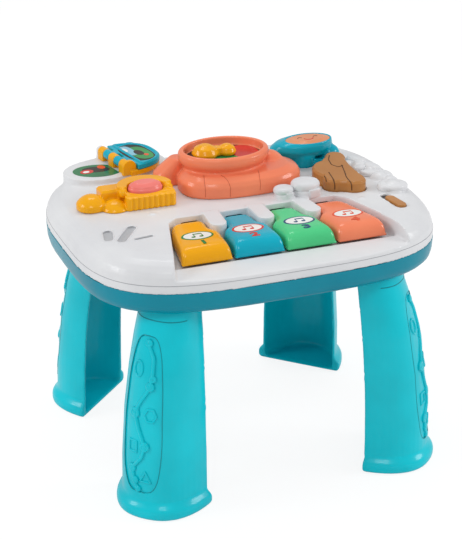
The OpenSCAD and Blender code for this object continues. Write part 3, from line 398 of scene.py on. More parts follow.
# %% Skins of the shell and its toys
deck = melt("upper_deck", "tabletop", "deck_plastic", DECK_WHITE, 1.0, 5, 0.35)
bowl = melt("spinner_bowl", "tabletop", "coral_plastic", CORAL, 0.75, 14)
surround = melt("button_surround", "tabletop", "yellow_plastic", YELLOW, 0.5, 12)
spinner = melt("spinner", "spinner_arm", "yellow_plastic", YELLOW, 0.5, 12)
drum = melt("drum_button", "drum", "blue_plastic", BLUE, 0.7, 14)
brown = melt("brown_button", "brown_press", "brown_plastic", BROWN, 0.6, 8)
pink = melt("pink_button", "pink_press", "pink_plastic", PINK, 0.5, 12)
book_base = melt("book_base", "tabletop", "yellow_plastic", YELLOW, 0.45, 3)
page = melt("book_page", "page", "blue_plastic", BLUE, 0.45, 4)
knob = melt("slide_knob", "knob", "brown_plastic", BROWN, 0.4, 4)
for piece in (deck, bowl, surround, spinner, drum, brown, pink, book_base, page, knob):
    print(piece.name, len(piece.data.polygons), "faces")

# %% [markdown]
# The four piano keys are fat blocks with broad round shoulders, easy on small
# fingers. More smoothing all over would shrink them off their rod. So after
# the skin, only the points near the top are smoothed, and for many rounds.

# %% Keys
KEY_PLASTIC = {"yellow": YELLOW, "blue": BLUE, "green": GREEN, "coral": CORAL}
keys = {
    tint: melt("key_" + tint, tint + "_key", tint + "_plastic", plastic, 0.9, 15)
    for tint, plastic in KEY_PLASTIC.items()
}


def soften(obj, low, high, rounds):
    """Smooths only what lies between two heights."""
    zone = obj.vertex_groups.new(name="zone")
    inside = [v.index for v in obj.data.vertices if low < v.co.z < high]
    zone.add(inside, 1, "REPLACE")
    modify(obj, "SMOOTH", factor=0.5, iterations=rounds, vertex_group=zone.name)


for key in keys.values():
    soften(key, low=0.2225, high=0.25, rounds=110)
    print(key.name, len(key.data.polygons), "faces")

# %% [markdown]
# The rim of each foot is rolled soft, because a child trips over it. The same
# local smoothing does it, from the floor up to 16 mm. Then the leg is thinned
# to two fifths of its triangles, and two last rounds even out what that leaves.

# %% Feet of the legs
for leg in legs.values():
    soften(leg, low=-0.001, high=0.016, rounds=42)
    modify(leg, "DECIMATE", ratio=0.4)
    modify(leg, "SMOOTH", factor=0.5, iterations=2)
    soft_edges(leg, 60)
print("the front left leg has", len(legs["front_left"].data.polygons), "faces now")

# %% [markdown]
# The teal lower half of the table top is a deep tray with broad smooth sides
# and crisp screw holes. A remesh would wear the holes away, and the sides are
# smooth already, so its own facets are kept and only shaded smooth.

# %% Lower housing
housing = twin("lower_housing")
soft_edges(housing, 32)
place(housing, "tabletop", "housing_plastic", HOUSING_TEAL, "lower_housing")
print(housing.name, len(housing.data.polygons), "faces")

# %% [markdown]
# Grooves, rims and raised lines follow curved plastic all over this toy. They
# could be cut or extruded in the skin itself, but that needs a very fine mesh.
# Instead a chain of points is drawn flat above the surface and dropped onto
# it, as a tape is laid on a shape. Points about 1.5 mm apart follow every bend.

# %% Chains of points on a surface
STEP = 1.5 * MM


def chain(name, points, closed):
    """A mesh of points and edges alone, open or closed."""
    mesh = bpy.data.meshes.new(name)
    count = len(points)
    edges = [(i, (i + 1) % count) for i in range(count if closed else count - 1)]
    mesh.from_pydata(points, edges, [])
    obj = bpy.data.objects.new(name, mesh)
    bpy.context.scene.collection.objects.link(obj)
    return obj


def fine(points, closed, step=STEP):
    """Points along a line of points, about a step apart."""
    out = []
    pairs = list(zip(points, points[1:] + points[:1] if closed else points[1:]))
    for a, b in pairs:
        a, b = Vector(a), Vector(b)
        parts = max(1, round((b - a).length / step))
        out += [tuple(a.lerp(b, i / parts)) for i in range(parts)]
    return out if closed else out + [tuple(points[-1])]


def stand(obj, at, turn):
    """Puts an object at a place, turned about the vertical."""
    obj.location = at
    obj.rotation_euler = (0, 0, turn)
    bpy.context.view_layer.update()


def drop(obj, target, axis="Z", offset=0.0):
    """Moves an object's points along minus its own axis, onto a surface."""
    modify(
        obj,
        "SHRINKWRAP",
        target=target,
        wrap_method="PROJECT",
        use_project_x=axis == "X",
        use_project_y=axis == "Y",
        use_project_z=axis == "Z",
        use_negative_direction=True,
        use_positive_direction=False,
        offset=offset,
    )


print("a line of 12 mm has", len(fine([(0, 0, 0), (12 * MM, 0, 0)], False)), "points")

# %% [markdown]
# A chain becomes a bead when a round section is swept along it. Sunk halfway
# in and in a darker tone it reads as a groove, and higher up and in the part's
# own colour it reads as a raised line. Curves do the sweeping, because their
# bevel keeps the section round at every bend.

# %% Beads
SECTION = 3  # steps in each quarter of a bead's round section


def outward():
    """Turns all faces outwards."""
    bpy.ops.mesh.normals_make_consistent(inside=False)


def settle(obj):
    """Puts an object's place, turn and size into its mesh."""
    only(obj)
    bpy.ops.object.transform_apply(location=True, rotation=True, scale=True)


def sweep(obj, radius):
    """Turns a chain into a round bead."""
    only(obj)
    bpy.ops.object.convert(target="CURVE")
    curve = bpy.context.object
    curve.data.bevel_depth = radius
    curve.data.bevel_resolution = SECTION
    curve.data.use_fill_caps = True
    bpy.ops.object.convert(target="MESH")
    obj = bpy.context.object
    in_edit(obj, merge, outward)
    soft_edges(obj, 60)
    return obj


def bead(
    name,
    points,
    target,
    radius,
    closed=False,
    sink=0.0,
    axis="Z",
    turn=0.0,
    at=(0, 0, 0),
):
    """A bead along points, dropped onto a surface and sunk into it."""
    obj = chain(name, fine(points, closed), closed)
    stand(obj, at, turn)
    drop(obj, target, axis, -sink)
    obj = sweep(obj, radius)
    settle(obj)
    return obj


def join(name, objects):
    """Makes several objects one."""
    bpy.ops.object.select_all(action="DESELECT")
    for obj in objects:
        obj.select_set(True)
    bpy.context.view_layer.objects.active = objects[0]
    bpy.ops.object.join()
    objects[0].name = name
    return objects[0]


print("a bead's section has", SECTION, "steps in a quarter")

# %% [markdown]
# Each leg has a long oval field, sunk a little into its outer wall, and raised
# shapes in it: a circle, a hexagon, a square and a triangle beside a stalk
# with buds. They could be drawn point by point, but sines and cosines give
# even curves from a few sizes. Most outlines further on need the same, so two
# helpers are shared: even angles round a ring, and a bulge that turns an oval
# into a soft rectangle.

# %% Drawing on the legs
OUT = 90 * MM  # the drawing's plane, well outside the leg's wall
# The field in metres: the height of its middle, half its length, half its width
# at its foot, and how much narrower it gets over its span
FIELD_MIDDLE = 0.094
FIELD_HALF = 0.070
FIELD_WIDTH = 0.0215
FIELD_TAPER = 0.0055
FIELD_FOOT = 0.025
FIELD_SPAN = 0.14


def angles(count, start=0.0):
    """Even angles all the way round."""
    return [start + 2 * math.pi * i / count for i in range(count)]


def bulge(value, power):
    """A sine or cosine pushed outwards: below 1, a power squares an oval off."""
    return math.copysign(abs(value) ** power, value)


def ring(u, z, rx, rz, count, start=0.0):
    """A ring, or with few corners a polygon, on the drawing's plane."""
    return [
        (u + rx * math.cos(t), OUT, z + rz * math.sin(t)) for t in angles(count, start)
    ]


def oval_field(shift):
    """The outline of the long field: a soft rectangle, narrower at its top."""
    points = []
    for t in angles(48):
        z = FIELD_MIDDLE + FIELD_HALF * bulge(math.sin(t), 0.8)
        width = FIELD_WIDTH - FIELD_TAPER * (z - FIELD_FOOT) / FIELD_SPAN
        points.append((width * bulge(math.cos(t), 0.55) + shift, OUT, z))
    return points


# Raised outlines, in millimetres: across, height, half width, half height,
# and then the number of corners and the angle of the first
RINGS = (
    ("circle", -7, 135, 4.2, 6.5, 24, 0),
    ("hexagon", 8, 97, 5.5, 6.2, 6, 0),
    ("square", -8, 66, 5.5, 7, 4, math.pi / 4),
    ("triangle", 5, 38, 6, 6.5, 3, math.pi / 2),
)
# A stalk that winds down the field: across, height
STALK = (
    (1, 157), (7, 146), (7.5, 132), (6, 121), (-3, 106), (-7, 97),
    (-2, 82), (4, 68), (1, 57), (-8, 46), (-6, 34), (-2, 27),
)
# The buds on it: across, height, size
BUDS = (
    (1, 158, 2.2), (8, 129, 1.9), (6, 122, 2.8), (-7, 97, 3.4),
    (4, 68, 3.2), (-8, 46, 2.6), (-5, 35, 2.2), (-2, 27, 1.6),
)
print("the field is", round(2 * FIELD_HALF / MM), "mm long, with", len(BUDS), "buds")

# %% [markdown]
# The field is recessed, because a raised pad in the mould forms it. A flat
# cutter would cut a curved wall too deep in the middle. So a grid is filled
# into the outline and dropped onto the wall, given twice the depth as its
# thickness, and taken away from the leg. The field's floor then follows the
# wall, 0.9 mm deep.

# %% Carving a field


def filled(name, outline, cuts):
    """A flat mesh with an even grid inside an outline."""
    obj = chain(name, outline, True)
    in_edit(
        obj,
        lambda: bpy.ops.mesh.fill_grid(span=len(outline) // 4),
        select_mesh,
        lambda: bpy.ops.mesh.subdivide(number_cuts=cuts),
    )
    return obj


def carve(piece, outline, depth, axis="Z", turn=0.0, at=(0, 0, 0)):
    """Sinks a field into a surface by a constant depth."""
    cutter = filled("cutter", outline, 2)
    stand(cutter, at, turn)
    drop(cutter, piece, axis)
    modify(cutter, "SOLIDIFY", thickness=2 * depth, offset=0)
    settle(cutter)
    modify(piece, "BOOLEAN", object=cutter, operation="DIFFERENCE", solver="EXACT")
    bpy.data.objects.remove(cutter)
    soft_edges(piece, 35)


LEG_AT = {
    "front_left": (-1, -1),
    "front_right": (1, -1),
    "rear_left": (-1, 1),
    "rear_right": (1, 1),
}
LEG_TURN = {"front_left": 225, "front_right": 315, "rear_left": 135, "rear_right": 45}
LEG_MIDDLE = (101 * MM, 92 * MM)  # from the middle of the table
FIELD_SHIFT = 5 * MM
FIELD_DEPTH = 0.9 * MM


def leg_stand(name):
    """How a drawing stands in front of a leg: which way it falls, and where."""
    sx, sy = LEG_AT[name]
    return {
        "axis": "Y",
        "turn": math.radians(LEG_TURN[name] - 90),
        "at": (sx * LEG_MIDDLE[0], sy * LEG_MIDDLE[1], 0),
    }


def leg_shift(name):
    """How far the field is beside the leg's middle, mirrored from leg to leg."""
    sx, sy = LEG_AT[name]
    return FIELD_SHIFT * sx * sy


for leg_name, leg in legs.items():
    carve(leg, oval_field(leg_shift(leg_name)), FIELD_DEPTH, **leg_stand(leg_name))
    print(leg.name, "carved,", len(leg.data.polygons), "faces")

# %% [markdown]
# The raised shapes are of the leg's own plastic, filled by the same shot. They
# are beads dropped onto the carved floor. Each bud is two rings, a small one
# inside a large one, so that together they make a low dome. The field's edge
# and the step below the shoulder are thin dark beads, because light hardly
# reaches into such lines.

# %% Relief on the legs
SHOULDER = 0.1765  # the height of the step, in metres
# Painted shade of a fine cut in the turquoise: darker, and dull
LEG_SHADE = moulded("turquoise_abs_painted_groove_shade", "#008E99", "#00858F", 0.4)


def leg_relief(name, leg):
    """The raised shapes, the field's edge and the step of one leg."""
    shift = leg_shift(name)
    common = {"target": leg, **leg_stand(name)}
    lines = []
    outline = {"radius": 1.1 * MM, "closed": True, "sink": -0.1 * MM, **common}
    for kind, u, z, rx, rz, count, start in RINGS:
        points = ring(shift - u * MM, z * MM, rx * MM, rz * MM, count, start)
        lines.append(bead(kind, points, **outline))
    stalk = [(shift - u * MM, OUT, z * MM) for u, z in STALK]
    lines.append(bead("stalk", stalk, radius=1.8 * MM, sink=-0.3 * MM, **common))
    bud = {"radius": 1.6 * MM, "closed": True, "sink": -0.5 * MM, **common}
    for u, z, size in BUDS:
        for share in (0.35, 1.0):
            reach = share * size * MM
            points = ring(shift - u * MM, z * MM, reach, reach, 12)
            lines.append(bead("bud", points, **bud))
    relief = join("leg_%s_relief" % name, lines)
    place(relief, "legs", "leg_plastic", LEG_TEAL)
    edge = bead(
        "leg_%s_field_edge" % name,
        oval_field(shift),
        radius=0.35 * MM,
        closed=True,
        sink=0.1 * MM,
        **common,
    )
    place(edge, "legs", "leg_plastic", LEG_SHADE)
    collar = [(u * MM, OUT, SHOULDER) for u in range(-23, 24, 2)]
    step = bead("leg_%s_step" % name, collar, radius=0.5 * MM, sink=0.2 * MM, **common)
    place(step, "legs", "leg_plastic", LEG_SHADE)
    return relief


for leg_name, leg in legs.items():
    relief = leg_relief(leg_name, leg)
    print(relief.name, len(relief.data.polygons), "faces")

# %% [markdown]
# The keys carry pad prints, ink that a soft stamp lays on the plastic, and the
# book and the bowl carry printed film. They could be colours in the plastic's
# material, but a print of its own has crisp edges at any size. So each is a
# flat shape, cut to its outline, dropped onto the surface and given a thin
# body. Prints that lie on each other differ in height by about 0.1 mm.

# %% Flat prints
FILM = 0.3 * MM  # thickness of every print, so that its underside is sunk
ABOVE = 0.35  # metres: the prints start above the whole table


def turned(u, v, angle, x=0, y=0):
    """A flat point turned by an angle and then moved to x and y."""
    c, s = math.cos(angle), math.sin(angle)
    return x + u * c - v * s, y + u * s + v * c


def oval(x, y, rx, ry, turn=0.0, z=ABOVE, count=36, power=1.0):
    """An oval outline in millimetres, or with a lower power a soft rectangle."""
    out = []
    for t in angles(count):
        u, v = rx * bulge(math.cos(t), power), ry * bulge(math.sin(t), power)
        px, py = turned(u, v, turn, x, y)
        out.append((px * MM, py * MM, z))
    return out


def flat(name, points, target, material, body, height=0.12, slot="printed_film"):
    """A filled flat shape, dropped onto a surface, a height in mm above it."""
    obj = filled(name, points, 1)
    in_edit(obj, outward)
    drop(obj, target, "Z", height * MM)
    modify(obj, "SOLIDIFY", thickness=FILM, offset=-1)
    return place(obj, body, slot, material)


# Inks are thin and even: little grain, and the gloss of the plastic below
INKS = {
    "white": ("#F2F3F0", "#E6E8E4"),
    "green": ("#2E8B3D", "#257A33"),
    "red": ("#D8413A", "#C93630"),
    "navy": ("#1F4E79", "#183F63"),
    "orange": ("#E8562E", "#DB4A24"),
    "dark": ("#33291F", "#241D16"),
    "sky": ("#8FC7DA", "#7DB9CE"),
    "leaf": ("#3E9C55", "#2F8446"),
}
INK = {
    name: moulded("ink_" + name, light, shade, 0.25, 0.01, 0.4)
    for name, (light, shade) in INKS.items()
}
print(len(INK), "inks")

# %% [markdown]
# Each key has an oval badge with two linked notes near its middle, and the
# key's number in front of it. The number is a text object: its outline is made
# bolder and wider, as on toys, then it becomes a mesh, is cut finer so that it
# can bend with the key, and is dropped like any other print.

# %% Prints on the keys
KEY_PRINTS = {
    "yellow": ("green", "1"),
    "blue": ("red", "2"),
    "green": ("navy", "3"),
    "coral": ("orange", "4"),
}
BADGE_Y = -73  # mm: the middle of every badge
NUMERAL_Y = -89
BOLD = 0.045  # how far a figure's outline grows, as a share of its size
WIDE = 1.45


def numeral(name, digit, x, y, size, target, material, body):
    """A bold figure printed on a surface, its size in millimetres."""
    curve = bpy.data.curves.new(name, "FONT")
    curve.body = digit
    curve.size = size * MM
    curve.offset = BOLD * size * MM
    curve.align_x = "CENTER"
    curve.align_y = "CENTER"
    obj = bpy.data.objects.new(name, curve)
    bpy.context.scene.collection.objects.link(obj)
    obj.location = (x * MM, y * MM, ABOVE)
    obj.scale.x = WIDE
    only(obj)
    bpy.ops.object.convert(target="MESH")
    obj = bpy.context.object
    settle(obj)
    in_edit(obj, merge, lambda: bpy.ops.mesh.subdivide(number_cuts=3))
    drop(obj, target, "Z", 0.2 * MM)
    modify(obj, "SOLIDIFY", thickness=FILM, offset=-1)
    return place(obj, body, "printed_film", material)


def key_print(tint):
    """The badge, the notes and the number of one key."""
    ink_name, digit = KEY_PRINTS[tint]
    ink = INK[ink_name]
    key = keys[tint]
    body = tint + "_key"
    low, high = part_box("key_" + tint)
    x = (low.x + high.x) / 2 / MM
    flat(tint + "_badge_ring", oval(x, BADGE_Y, 14.5, 9.6), key, ink, body, 0.12)
    flat(tint + "_badge", oval(x, BADGE_Y, 12.6, 7.9), key, INK["white"], body, 0.2)
    for side in (-1, 1):
        head = oval(x + side * 3.6 - 0.8, -75.6, 1.9, 1.6)
        stem = oval(x + side * 3.6 + 0.8, -72.4, 0.4, 3.2, power=0.2, count=12)
        flat("%s_note_head%d" % (tint, side + 1), head, key, ink, body, 0.28)
        flat("%s_note_stem%d" % (tint, side + 1), stem, key, ink, body, 0.28)
    beam = oval(x + 0.8, -69.2, 4, 1, power=0.2, count=12)
    flat(tint + "_note_beam", beam, key, ink, body, 0.28)
    return numeral(tint + "_numeral", digit, x, NUMERAL_Y, 10.5, key, ink, body)


for tint in keys:
    print(key_print(tint).name, "and its badge are on")

# %% [markdown]
# The book's page and the platform under it carry glossy printed film, each a
# small landscape in flat colours. The book lies at a slant, so its prints are
# given in the book's own directions, across and along, and turned with it.

# %% Prints of the book
BOOK_TURN = math.radians(11)
BOOK_AT = (-84, 99)  # mm: the middle of the hinge


def in_book(u, v):
    """A point of the book, in mm on the table top."""
    return turned(u, v, BOOK_TURN, *BOOK_AT)


def book_oval(name, u, v, rx, ry, leaf, ink, height, power=1.0, turn=0.0):
    """An oval print on one leaf of the book: a target and the body it is on."""
    target, body = leaf
    outline = oval(*in_book(u, v), rx, ry, BOOK_TURN + turn, power=power)
    return flat(name, outline, target, INK[ink], body, height)


PAGE_LEAF = (page, "page")
BASE_LEAF = (frame["nodes"]["platform_print"], "tabletop")
book_oval("page_field", 22, -2, 13.5, 22.5, PAGE_LEAF, "dark", 0.1, 0.75)
book_oval("page_meadow", 24.5, -5, 9.5, 17, PAGE_LEAF, "leaf", 0.2, 0.8)
book_oval("page_sky", 17, 5, 5.5, 13, PAGE_LEAF, "sky", 0.22, 0.7)
book_oval("page_hill", 23.5, -4, 4.2, 7, PAGE_LEAF, "dark", 0.3)
book_oval("page_cloud", 15, 8, 2.4, 5, PAGE_LEAF, "white", 0.32)
book_oval("page_sun", 27, -12, 2.2, 2.8, PAGE_LEAF, "orange", 0.32)
book_oval("platform_leaf", -20, 0, 13, 7, BASE_LEAF, "dark", 0.08, turn=-0.4)
book_oval("platform_berry", -30, -1, 6.5, 4.8, BASE_LEAF, "red", 0.16)
book_oval("platform_flower", -31, -1.5, 3.2, 2.2, BASE_LEAF, "white", 0.24)
book_oval("platform_sun", -13, 3, 3.6, 4.6, BASE_LEAF, "orange", 0.16)
print("the book's prints lie round", [round(x) for x in in_book(0, 0)], "mm")

# %% [markdown]
# The bowl's floor has a printed film too, seen between its rim and the
# spinner. A point that misses the film on its way down would stay high up and
# pull the print into a spike, so these shapes start just over the floor.

# %% Prints of the bowl
bowl_film = frame["nodes"]["bowl_floor_print"]
# The dark oval under the other two is painted shade, where the bowl's walls shade its
# floor; the meadow and the red oval are print
for name, outline, ink, height in (
    ("floor_shade", oval(0, 36, 35.5, 25.2, z=0.2617, count=48), "dark", 0.06),
    ("floor_meadow", oval(3, 30, 22, 17.5, z=0.2618), "leaf", 0.14),
    ("floor_red", oval(21.5, 37.5, 13, 17.5, z=0.2619), "red", 0.22),
):
    flat(name, outline, bowl_film, INK[ink], "tabletop", height)
    print(name, "lies in the bowl")

# %% [markdown]
# The drum's top is an orange printed disc with a plain smile, the kind that
# is drawn on any toddler toy. It could be flat print as well, but thin beads
# sunk halfway give the slightly raised line of a thick screen print.

# %% Drum face
FACE_X = 92.7  # mm: the middle of the face, and the heights of its lines on it
EYES_Y = 57
SMILE_Y = 54.5
EYE = ((-2.2, 0), (-1, 1.2), (0, 1.5), (1, 1.2), (2.2, 0))
face = frame["nodes"]["drum_face"]
for side in (-1, 1):
    middle = FACE_X + side * 8
    eye = [((middle + dx) * MM, (EYES_Y + dy) * MM, ABOVE) for dx, dy in EYE]
    brow = bead("drum_eye_%d" % (side + 1), eye, face, 0.45 * MM, sink=0.2 * MM)
    place(brow, "drum", "printed_film", INK["dark"])
smile = [
    ((FACE_X + 4.5 * math.cos(t)) * MM, (SMILE_Y + 3.4 * math.sin(t)) * MM, ABOVE)
    for t in [math.pi * (1 + i / 10) for i in range(11)]
]
mouth = bead("drum_smile", smile, face, 0.55 * MM, sink=0.2 * MM)
place(mouth, "drum", "printed_film", INK["red"])
print("the smile is", len(mouth.data.polygons), "faces")

# %% [markdown]
# The brown button and the bowl have grooves that run over their edges and
# down their sides, where nothing can be dropped from above. Each is drawn near
# the surface through a few points and evened out, and every point then moves
# to the nearest place on the surface. Half sunk, and in a dark tone that is
# painted shade, the bead looks like a cut of its own width.

# %% Carved lines


def metres(points):
    """Points in millimetres as points in metres."""
    return [(x * MM, y * MM, z * MM) for x, y, z in points]


def groove(name, points, target, radius, material, body, slot, closed=False, sink=0.15):
    """A bead along a surface in any direction, all its sizes in millimetres."""
    obj = chain(name, fine(metres(points), closed, 1.2 * MM), closed)
    modify(obj, "SMOOTH", factor=0.5, iterations=4)
    nearest = {"wrap_method": "NEAREST_SURFACEPOINT", "offset": -sink * MM}
    modify(obj, "SHRINKWRAP", target=target, **nearest)
    obj = sweep(obj, radius * MM)
    settle(obj)
    return place(obj, body, slot, material)


# Painted shade of a cut: the part's own colour, darker and dull
BROWN_CUT_SHADE = moulded("caramel_painted_cut_shade", "#5E3A1A", "#4A2C12", 0.5)
CORAL_CUT_SHADE = moulded("coral_painted_cut_shade", "#CF6A48", "#C25F3E", 0.4)
BROWN_LINES = (
    ((80.8, -6.8, 246), (79.8, -14, 246), (77.5, -19, 243)),
    (
        (88, -3, 247), (87, -10, 247), (86, -17, 246),
        (84.5, -24, 244), (84.3, -25.5, 240), (84.3, -25.5, 236),
    ),
    (
        (106, 8, 249), (102, -8, 248), (99, -18, 247),
        (98, -28, 246), (98, -31, 243), (98, -32, 236),
    ),
    ((104, 31, 249), (99, 22, 249), (97, 11, 248), (101, 4, 248), (107, 6, 248)),
)
BOWL_LINES = (
    ((-27, 15, 252), (-30, 5, 251), (-31, 0, 245), (-31, 0, 236.5)),
    ((-13, 9, 253), (-10, -1, 252), (-9, -6, 246), (-9.5, -7, 236.5)),
    ((23, 8, 253), (20, -3, 251), (19.5, -7, 245), (19, -7, 239)),
)
BROWN_GROOVE = (brown, 0.5, BROWN_CUT_SHADE, "brown_press", "brown_plastic")
BOWL_GROOVE = (bowl, 0.3, CORAL_CUT_SHADE, "tabletop", "coral_plastic")
for k, line in enumerate(BROWN_LINES):
    groove("brown_groove_%d" % k, line, *BROWN_GROOVE)
for k, line in enumerate(BOWL_LINES):
    groove("bowl_groove_%d" % k, line, *BOWL_GROOVE, sink=0.05)
print(len(BROWN_LINES), "grooves on the button and", len(BOWL_LINES), "on the bowl")

# %% [markdown]
# The white shell has a fine groove all round above its lip, where the two
# halves of the mould met. It could be picked from the skin's own edges, but
# after the remesh there are none. So the solid's outline, a soft rectangle, is
# drawn again, 0.3 mm inside it.

# %% Groove of the white shell
HALF_WIDTH = 165  # mm
HALF_DEPTH = 134
SQUARENESS = 2 / 3.5  # the power that gives the table top its outline
# Painted shade of the cut: white in shade reads as grey, and a cut has no gloss
WHITE_CUT_SHADE = moulded("white_painted_cut_shade", "#A9ABAF", "#9C9EA3", 0.5)


def table_outline(inset, z, count=120):
    """The outline of the table top, in millimetres, drawn in by an inset."""
    return [
        (
            (HALF_WIDTH - inset) * bulge(math.cos(t), SQUARENESS),
            (HALF_DEPTH - inset) * bulge(math.sin(t), SQUARENESS),
            z,
        )
        for t in angles(count)
    ]


ON_SHELL = ("tabletop", "deck_plastic")
lip_groove = table_outline(0.3, 215.4)
groove("shell_groove", lip_groove, deck, 0.35, WHITE_CUT_SHADE, *ON_SHELL, True)
print("the groove is drawn through", len(lip_groove), "points")

# %% [markdown]
# Three marks like pressed thumbs lie at the left of the shell: shallow slots
# with round ends. Each is carved like the field on the legs. A floor of painted
# shade, a darker white, goes in, because a hollow this small is darker than the
# deck, and a thin rim runs round it, where the mould's edge is rounded.

# %% Pressed marks


def capsule(x, y, degrees, length, width, z, count=10):
    """The outline of a slot with round ends, in millimetres."""
    turn = math.radians(degrees)
    half = (length - width) / 2
    points = []
    for end in (1, -1):
        for i in range(count + 1):
            t = math.pi * (i / count - 0.5) + (0 if end == 1 else math.pi)
            u, v = end * half + width / 2 * math.cos(t), width / 2 * math.sin(t)
            points.append((*turned(u, v, turn, x, y), z))
    return points


# Painted shade of a small hollow: the cool white, a little darker and less glossy
MARK_FLOOR_SHADE = moulded("white_abs_painted_shade", "#C2C3C6", "#B9BABD", 0.4, 0.02, 0.2)
# Middle, degrees from the x axis, length and width
MARKS = (
    (-137, -46, 76, 23, 9),
    (-121, -48.5, 54.5, 37, 8.5),
    (-110, -61.5, 9, 19, 4.5),
)
MARK_DEPTH = 1.1 * MM
for k, mark in enumerate(MARKS):
    # Two points are left out, because a grid needs a number that four divides
    outline = metres(capsule(*mark, 350)[:-2])
    carve(deck, outline, MARK_DEPTH)
    floor_name = "mark_floor_%d" % k
    flat(floor_name, outline, deck, MARK_FLOOR_SHADE, "tabletop", 0.05, "deck_plastic")
    rim = capsule(*mark, 235.6)
    groove("mark_rim_%d" % k, rim, deck, 0.6, DECK_WHITE, *ON_SHELL, True, 0.1)
    print("mark", k, "is", mark[3], "by", mark[4], "mm")

# %% [markdown]
# Two white ornaments stand on the shell, a small and a large cap, each with a
# little block in front. They could be melted from solids like the rest, but
# they are so small that bevels do better. A plain disc or cube is stretched,
# and its edges are bevelled until only a soft pebble or a worn block is left.

# %% Ornaments of the white shell
PEBBLE_ROUND = 0.45  # bevel widths, as shares of a pebble's height
BLOCK_ROUND = 0.2  # and of a block's shortest side


def shaped(obj, name, size, turn):
    """Names, stretches and turns a new primitive, and settles it."""
    obj.name = name
    obj.scale = size
    obj.rotation_euler = (0, 0, math.radians(turn))
    settle(obj)


def pebble(name, x, y, z, rx, ry, height, turn=0.0):
    """A soft pebble: a disc, stretched and rounded on every edge."""
    middle = (x * MM, y * MM, (z + height / 2) * MM)
    bpy.ops.mesh.primitive_cylinder_add(
        vertices=40, radius=MM, depth=height * MM, location=middle
    )
    obj = bpy.context.object
    shaped(obj, name, (rx, ry, 1), turn)
    modify(
        obj,
        "BEVEL",
        width=PEBBLE_ROUND * height * MM,
        segments=5,
        limit_method="ANGLE",
        angle_limit=math.radians(60),
    )
    soft_edges(obj, 50)
    return place(obj, "tabletop", "deck_plastic", DECK_WHITE)


def block(name, x, y, z, sx, sy, sz, turn=0.0):
    """A small block with rounded edges."""
    middle = (x * MM, y * MM, (z + sz / 2) * MM)
    bpy.ops.mesh.primitive_cube_add(size=MM, location=middle)
    obj = bpy.context.object
    shaped(obj, name, (sx, sy, sz), turn)
    modify(obj, "BEVEL", width=BLOCK_ROUND * min(sx, sy, sz) * MM, segments=4)
    soft_edges(obj, 40)
    return place(obj, "tabletop", "deck_plastic", DECK_WHITE)


ornaments = (
    pebble("small_cap", 36.5, -19.5, 239, 9.5, 8.5, 6.5),
    block("small_cap_block", 39.5, -25.5, 234.5, 8, 6, 7.5, 10),
    pebble("large_cap", 58, -18.5, 240, 13.5, 12, 8.5),
    block("large_cap_block", 62, -27.5, 234.5, 12, 8, 9, 10),
)
for piece in ornaments:
    top = max(v.co.z for v in piece.data.vertices)
    print(piece.name, "reaches", round(top / MM, 1), "mm")

# %% [markdown]
# A cluster of soft leaves spills over the shell's right edge. It is one raised
# pattern of the mould. Sculpting it as one surface would take a fine mesh, but
# pebbles that overlap blend to the eye, because they share the shell's white.

# %% Leaves of the white shell
# Middle, foot's height, half length, half width, height, degrees
LEAVES = (
    (125, 50, 234, 9, 6, 6, 130),
    (122, 33, 234, 8, 5.5, 5, 20),
    (134, 36, 233.5, 12, 6.5, 7, 115),
    (131, 20, 234, 9, 5, 5, 10),
    (141, 17, 232, 11, 6.5, 8, 110),
    (134, 3, 234, 11, 5.5, 5.5, -20),
    (146, -1, 230, 10, 6.5, 8, 100),
    (137, -36, 234, 14, 11, 7.5, -10),
)
for k, leaf in enumerate(LEAVES):
    pebble("leaf_%d" % k, *leaf)
print(len(LEAVES), "leaves")

# %% [markdown]
# The page has a thick rounded rim round its print, so that small fingers can
# turn it. A bevel would round the page's edge but not raise it. So a wide bead
# of the page's own plastic follows half a soft oval, up to the hinge.

# %% Rim of the page
RIM_POWER = 2 / 2.6  # a rounder corner than the table top's
# In mm: how far the rim reaches from the hinge and to each side, its height on
# the table, and where it ends beside the hinge
RIM_REACH = 38.6
RIM_HALF = 28.3
RIM_TOP = 249.8
HINGE_SIDE = 9.5


def page_rim():
    """The page's outline in millimetres, without its hinge side."""
    points = []
    for i in range(41):
        t = math.pi * (i / 40 - 0.5)
        u = RIM_REACH * bulge(math.cos(t), RIM_POWER)
        v = -2 + RIM_HALF * bulge(math.sin(t), RIM_POWER)
        if u > HINGE_SIDE:
            points.append((*in_book(u, v), RIM_TOP))
    return points


rim = groove("page_rim", page_rim(), page, 1.7, BLUE, "page", "blue_plastic", True, 0.5)
print(rim.name, len(rim.data.polygons), "faces")

# %% [markdown]
# The toy stands on pale paper, as in a small studio. Grey paper alone would
# need strong light to look white, and that light would bleach the toy. So what
# the camera sees of the floor is mostly a white glow, and a fifth of it is
# still real paper, which keeps the toy's shadow.

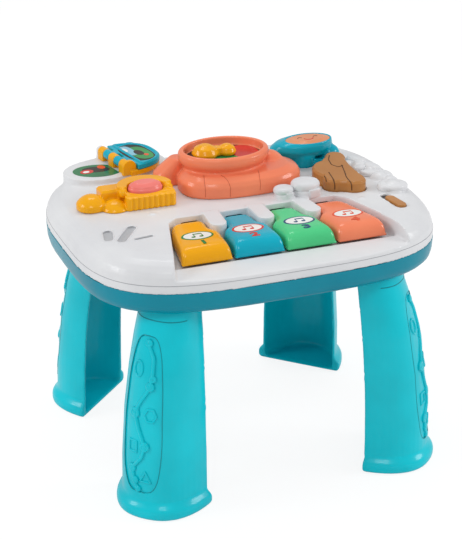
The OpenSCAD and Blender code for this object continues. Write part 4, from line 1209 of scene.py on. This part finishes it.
# %% Floor
GLOW = 0.8  # the share of the floor's look that is plain white
bpy.ops.mesh.primitive_plane_add(size=8, location=(0, 0, 0))
floor = bpy.context.object
floor.name = "floor"
floor_material, floor_tree, floor_shader, _ = new_material("studio_paper")
floor_shader.inputs["Base Color"].default_value = linear("#F2F2F2")
floor_shader.inputs["Roughness"].default_value = 0.9
floor_shader.inputs["Specular IOR Level"].default_value = 0.1
glow = add(floor_tree, "Emission", Color=(1, 1, 1, 1), Strength=1.08)
seen = add(floor_tree, "LightPath").outputs["Is Camera Ray"]
glow_share = add(floor_tree, "Math", [(0, seen)], operation="MULTIPLY")
glow_share.inputs[1].default_value = GLOW
sources = enumerate((glow_share, floor_shader, glow))
mix = add(floor_tree, "MixShader", [(i, node.outputs[0]) for i, node in sources])
surface = floor_tree.nodes["Material Output"].inputs["Surface"]
floor_tree.links.new(surface, mix.outputs[0])
floor.data.materials.append(floor_material)
print("the floor is", round(floor.dimensions.x), "m wide")

# %% [markdown]
# Soft light keeps the colours as they are written. A small bare bulb would
# burn a white spot on every round edge, so four large softboxes and an even
# sky do the work. The two at the sides model the round legs, the one on top
# gives the deck its sheen, and the one in front lights the faces of the keys.

# %% Lamps and sky
LOOK_AT = (0, 0, 0.15)  # the middle of the toy


def softbox(name, location, size, power):
    """A rectangular lamp that faces the toy."""
    data = bpy.data.lights.new(name, "AREA")
    data.shape = "RECTANGLE"
    data.size, data.size_y = size
    data.energy = power
    lamp = bpy.data.objects.new(name, data)
    bpy.context.scene.collection.objects.link(lamp)
    lamp.location = location
    direction = Vector(LOOK_AT) - Vector(location)
    lamp.rotation_euler = direction.to_track_quat("-Z", "Y").to_euler()
    print(name, power, "W,", round(direction.length, 1), "m away")


softbox("right_lamp", (1.9, -0.8, 1.1), (0.8, 0.6), 15)
softbox("left_lamp", (-1.9, 0.2, 1.3), (0.8, 0.6), 13)
softbox("top_lamp", (0.1, 0.7, 1.9), (0.9, 0.4), 6)
softbox("front_lamp", (-0.7, -1.6, 1.9), (0.7, 0.5), 8)
world = bpy.data.worlds.new("sky")
bpy.context.scene.world = world
world.use_nodes = True
sky = world.node_tree.nodes["Background"]
sky.inputs["Color"].default_value = (1, 1, 1, 1)
sky.inputs["Strength"].default_value = 0.55
bpy.context.scene.view_settings.view_transform = "Standard"
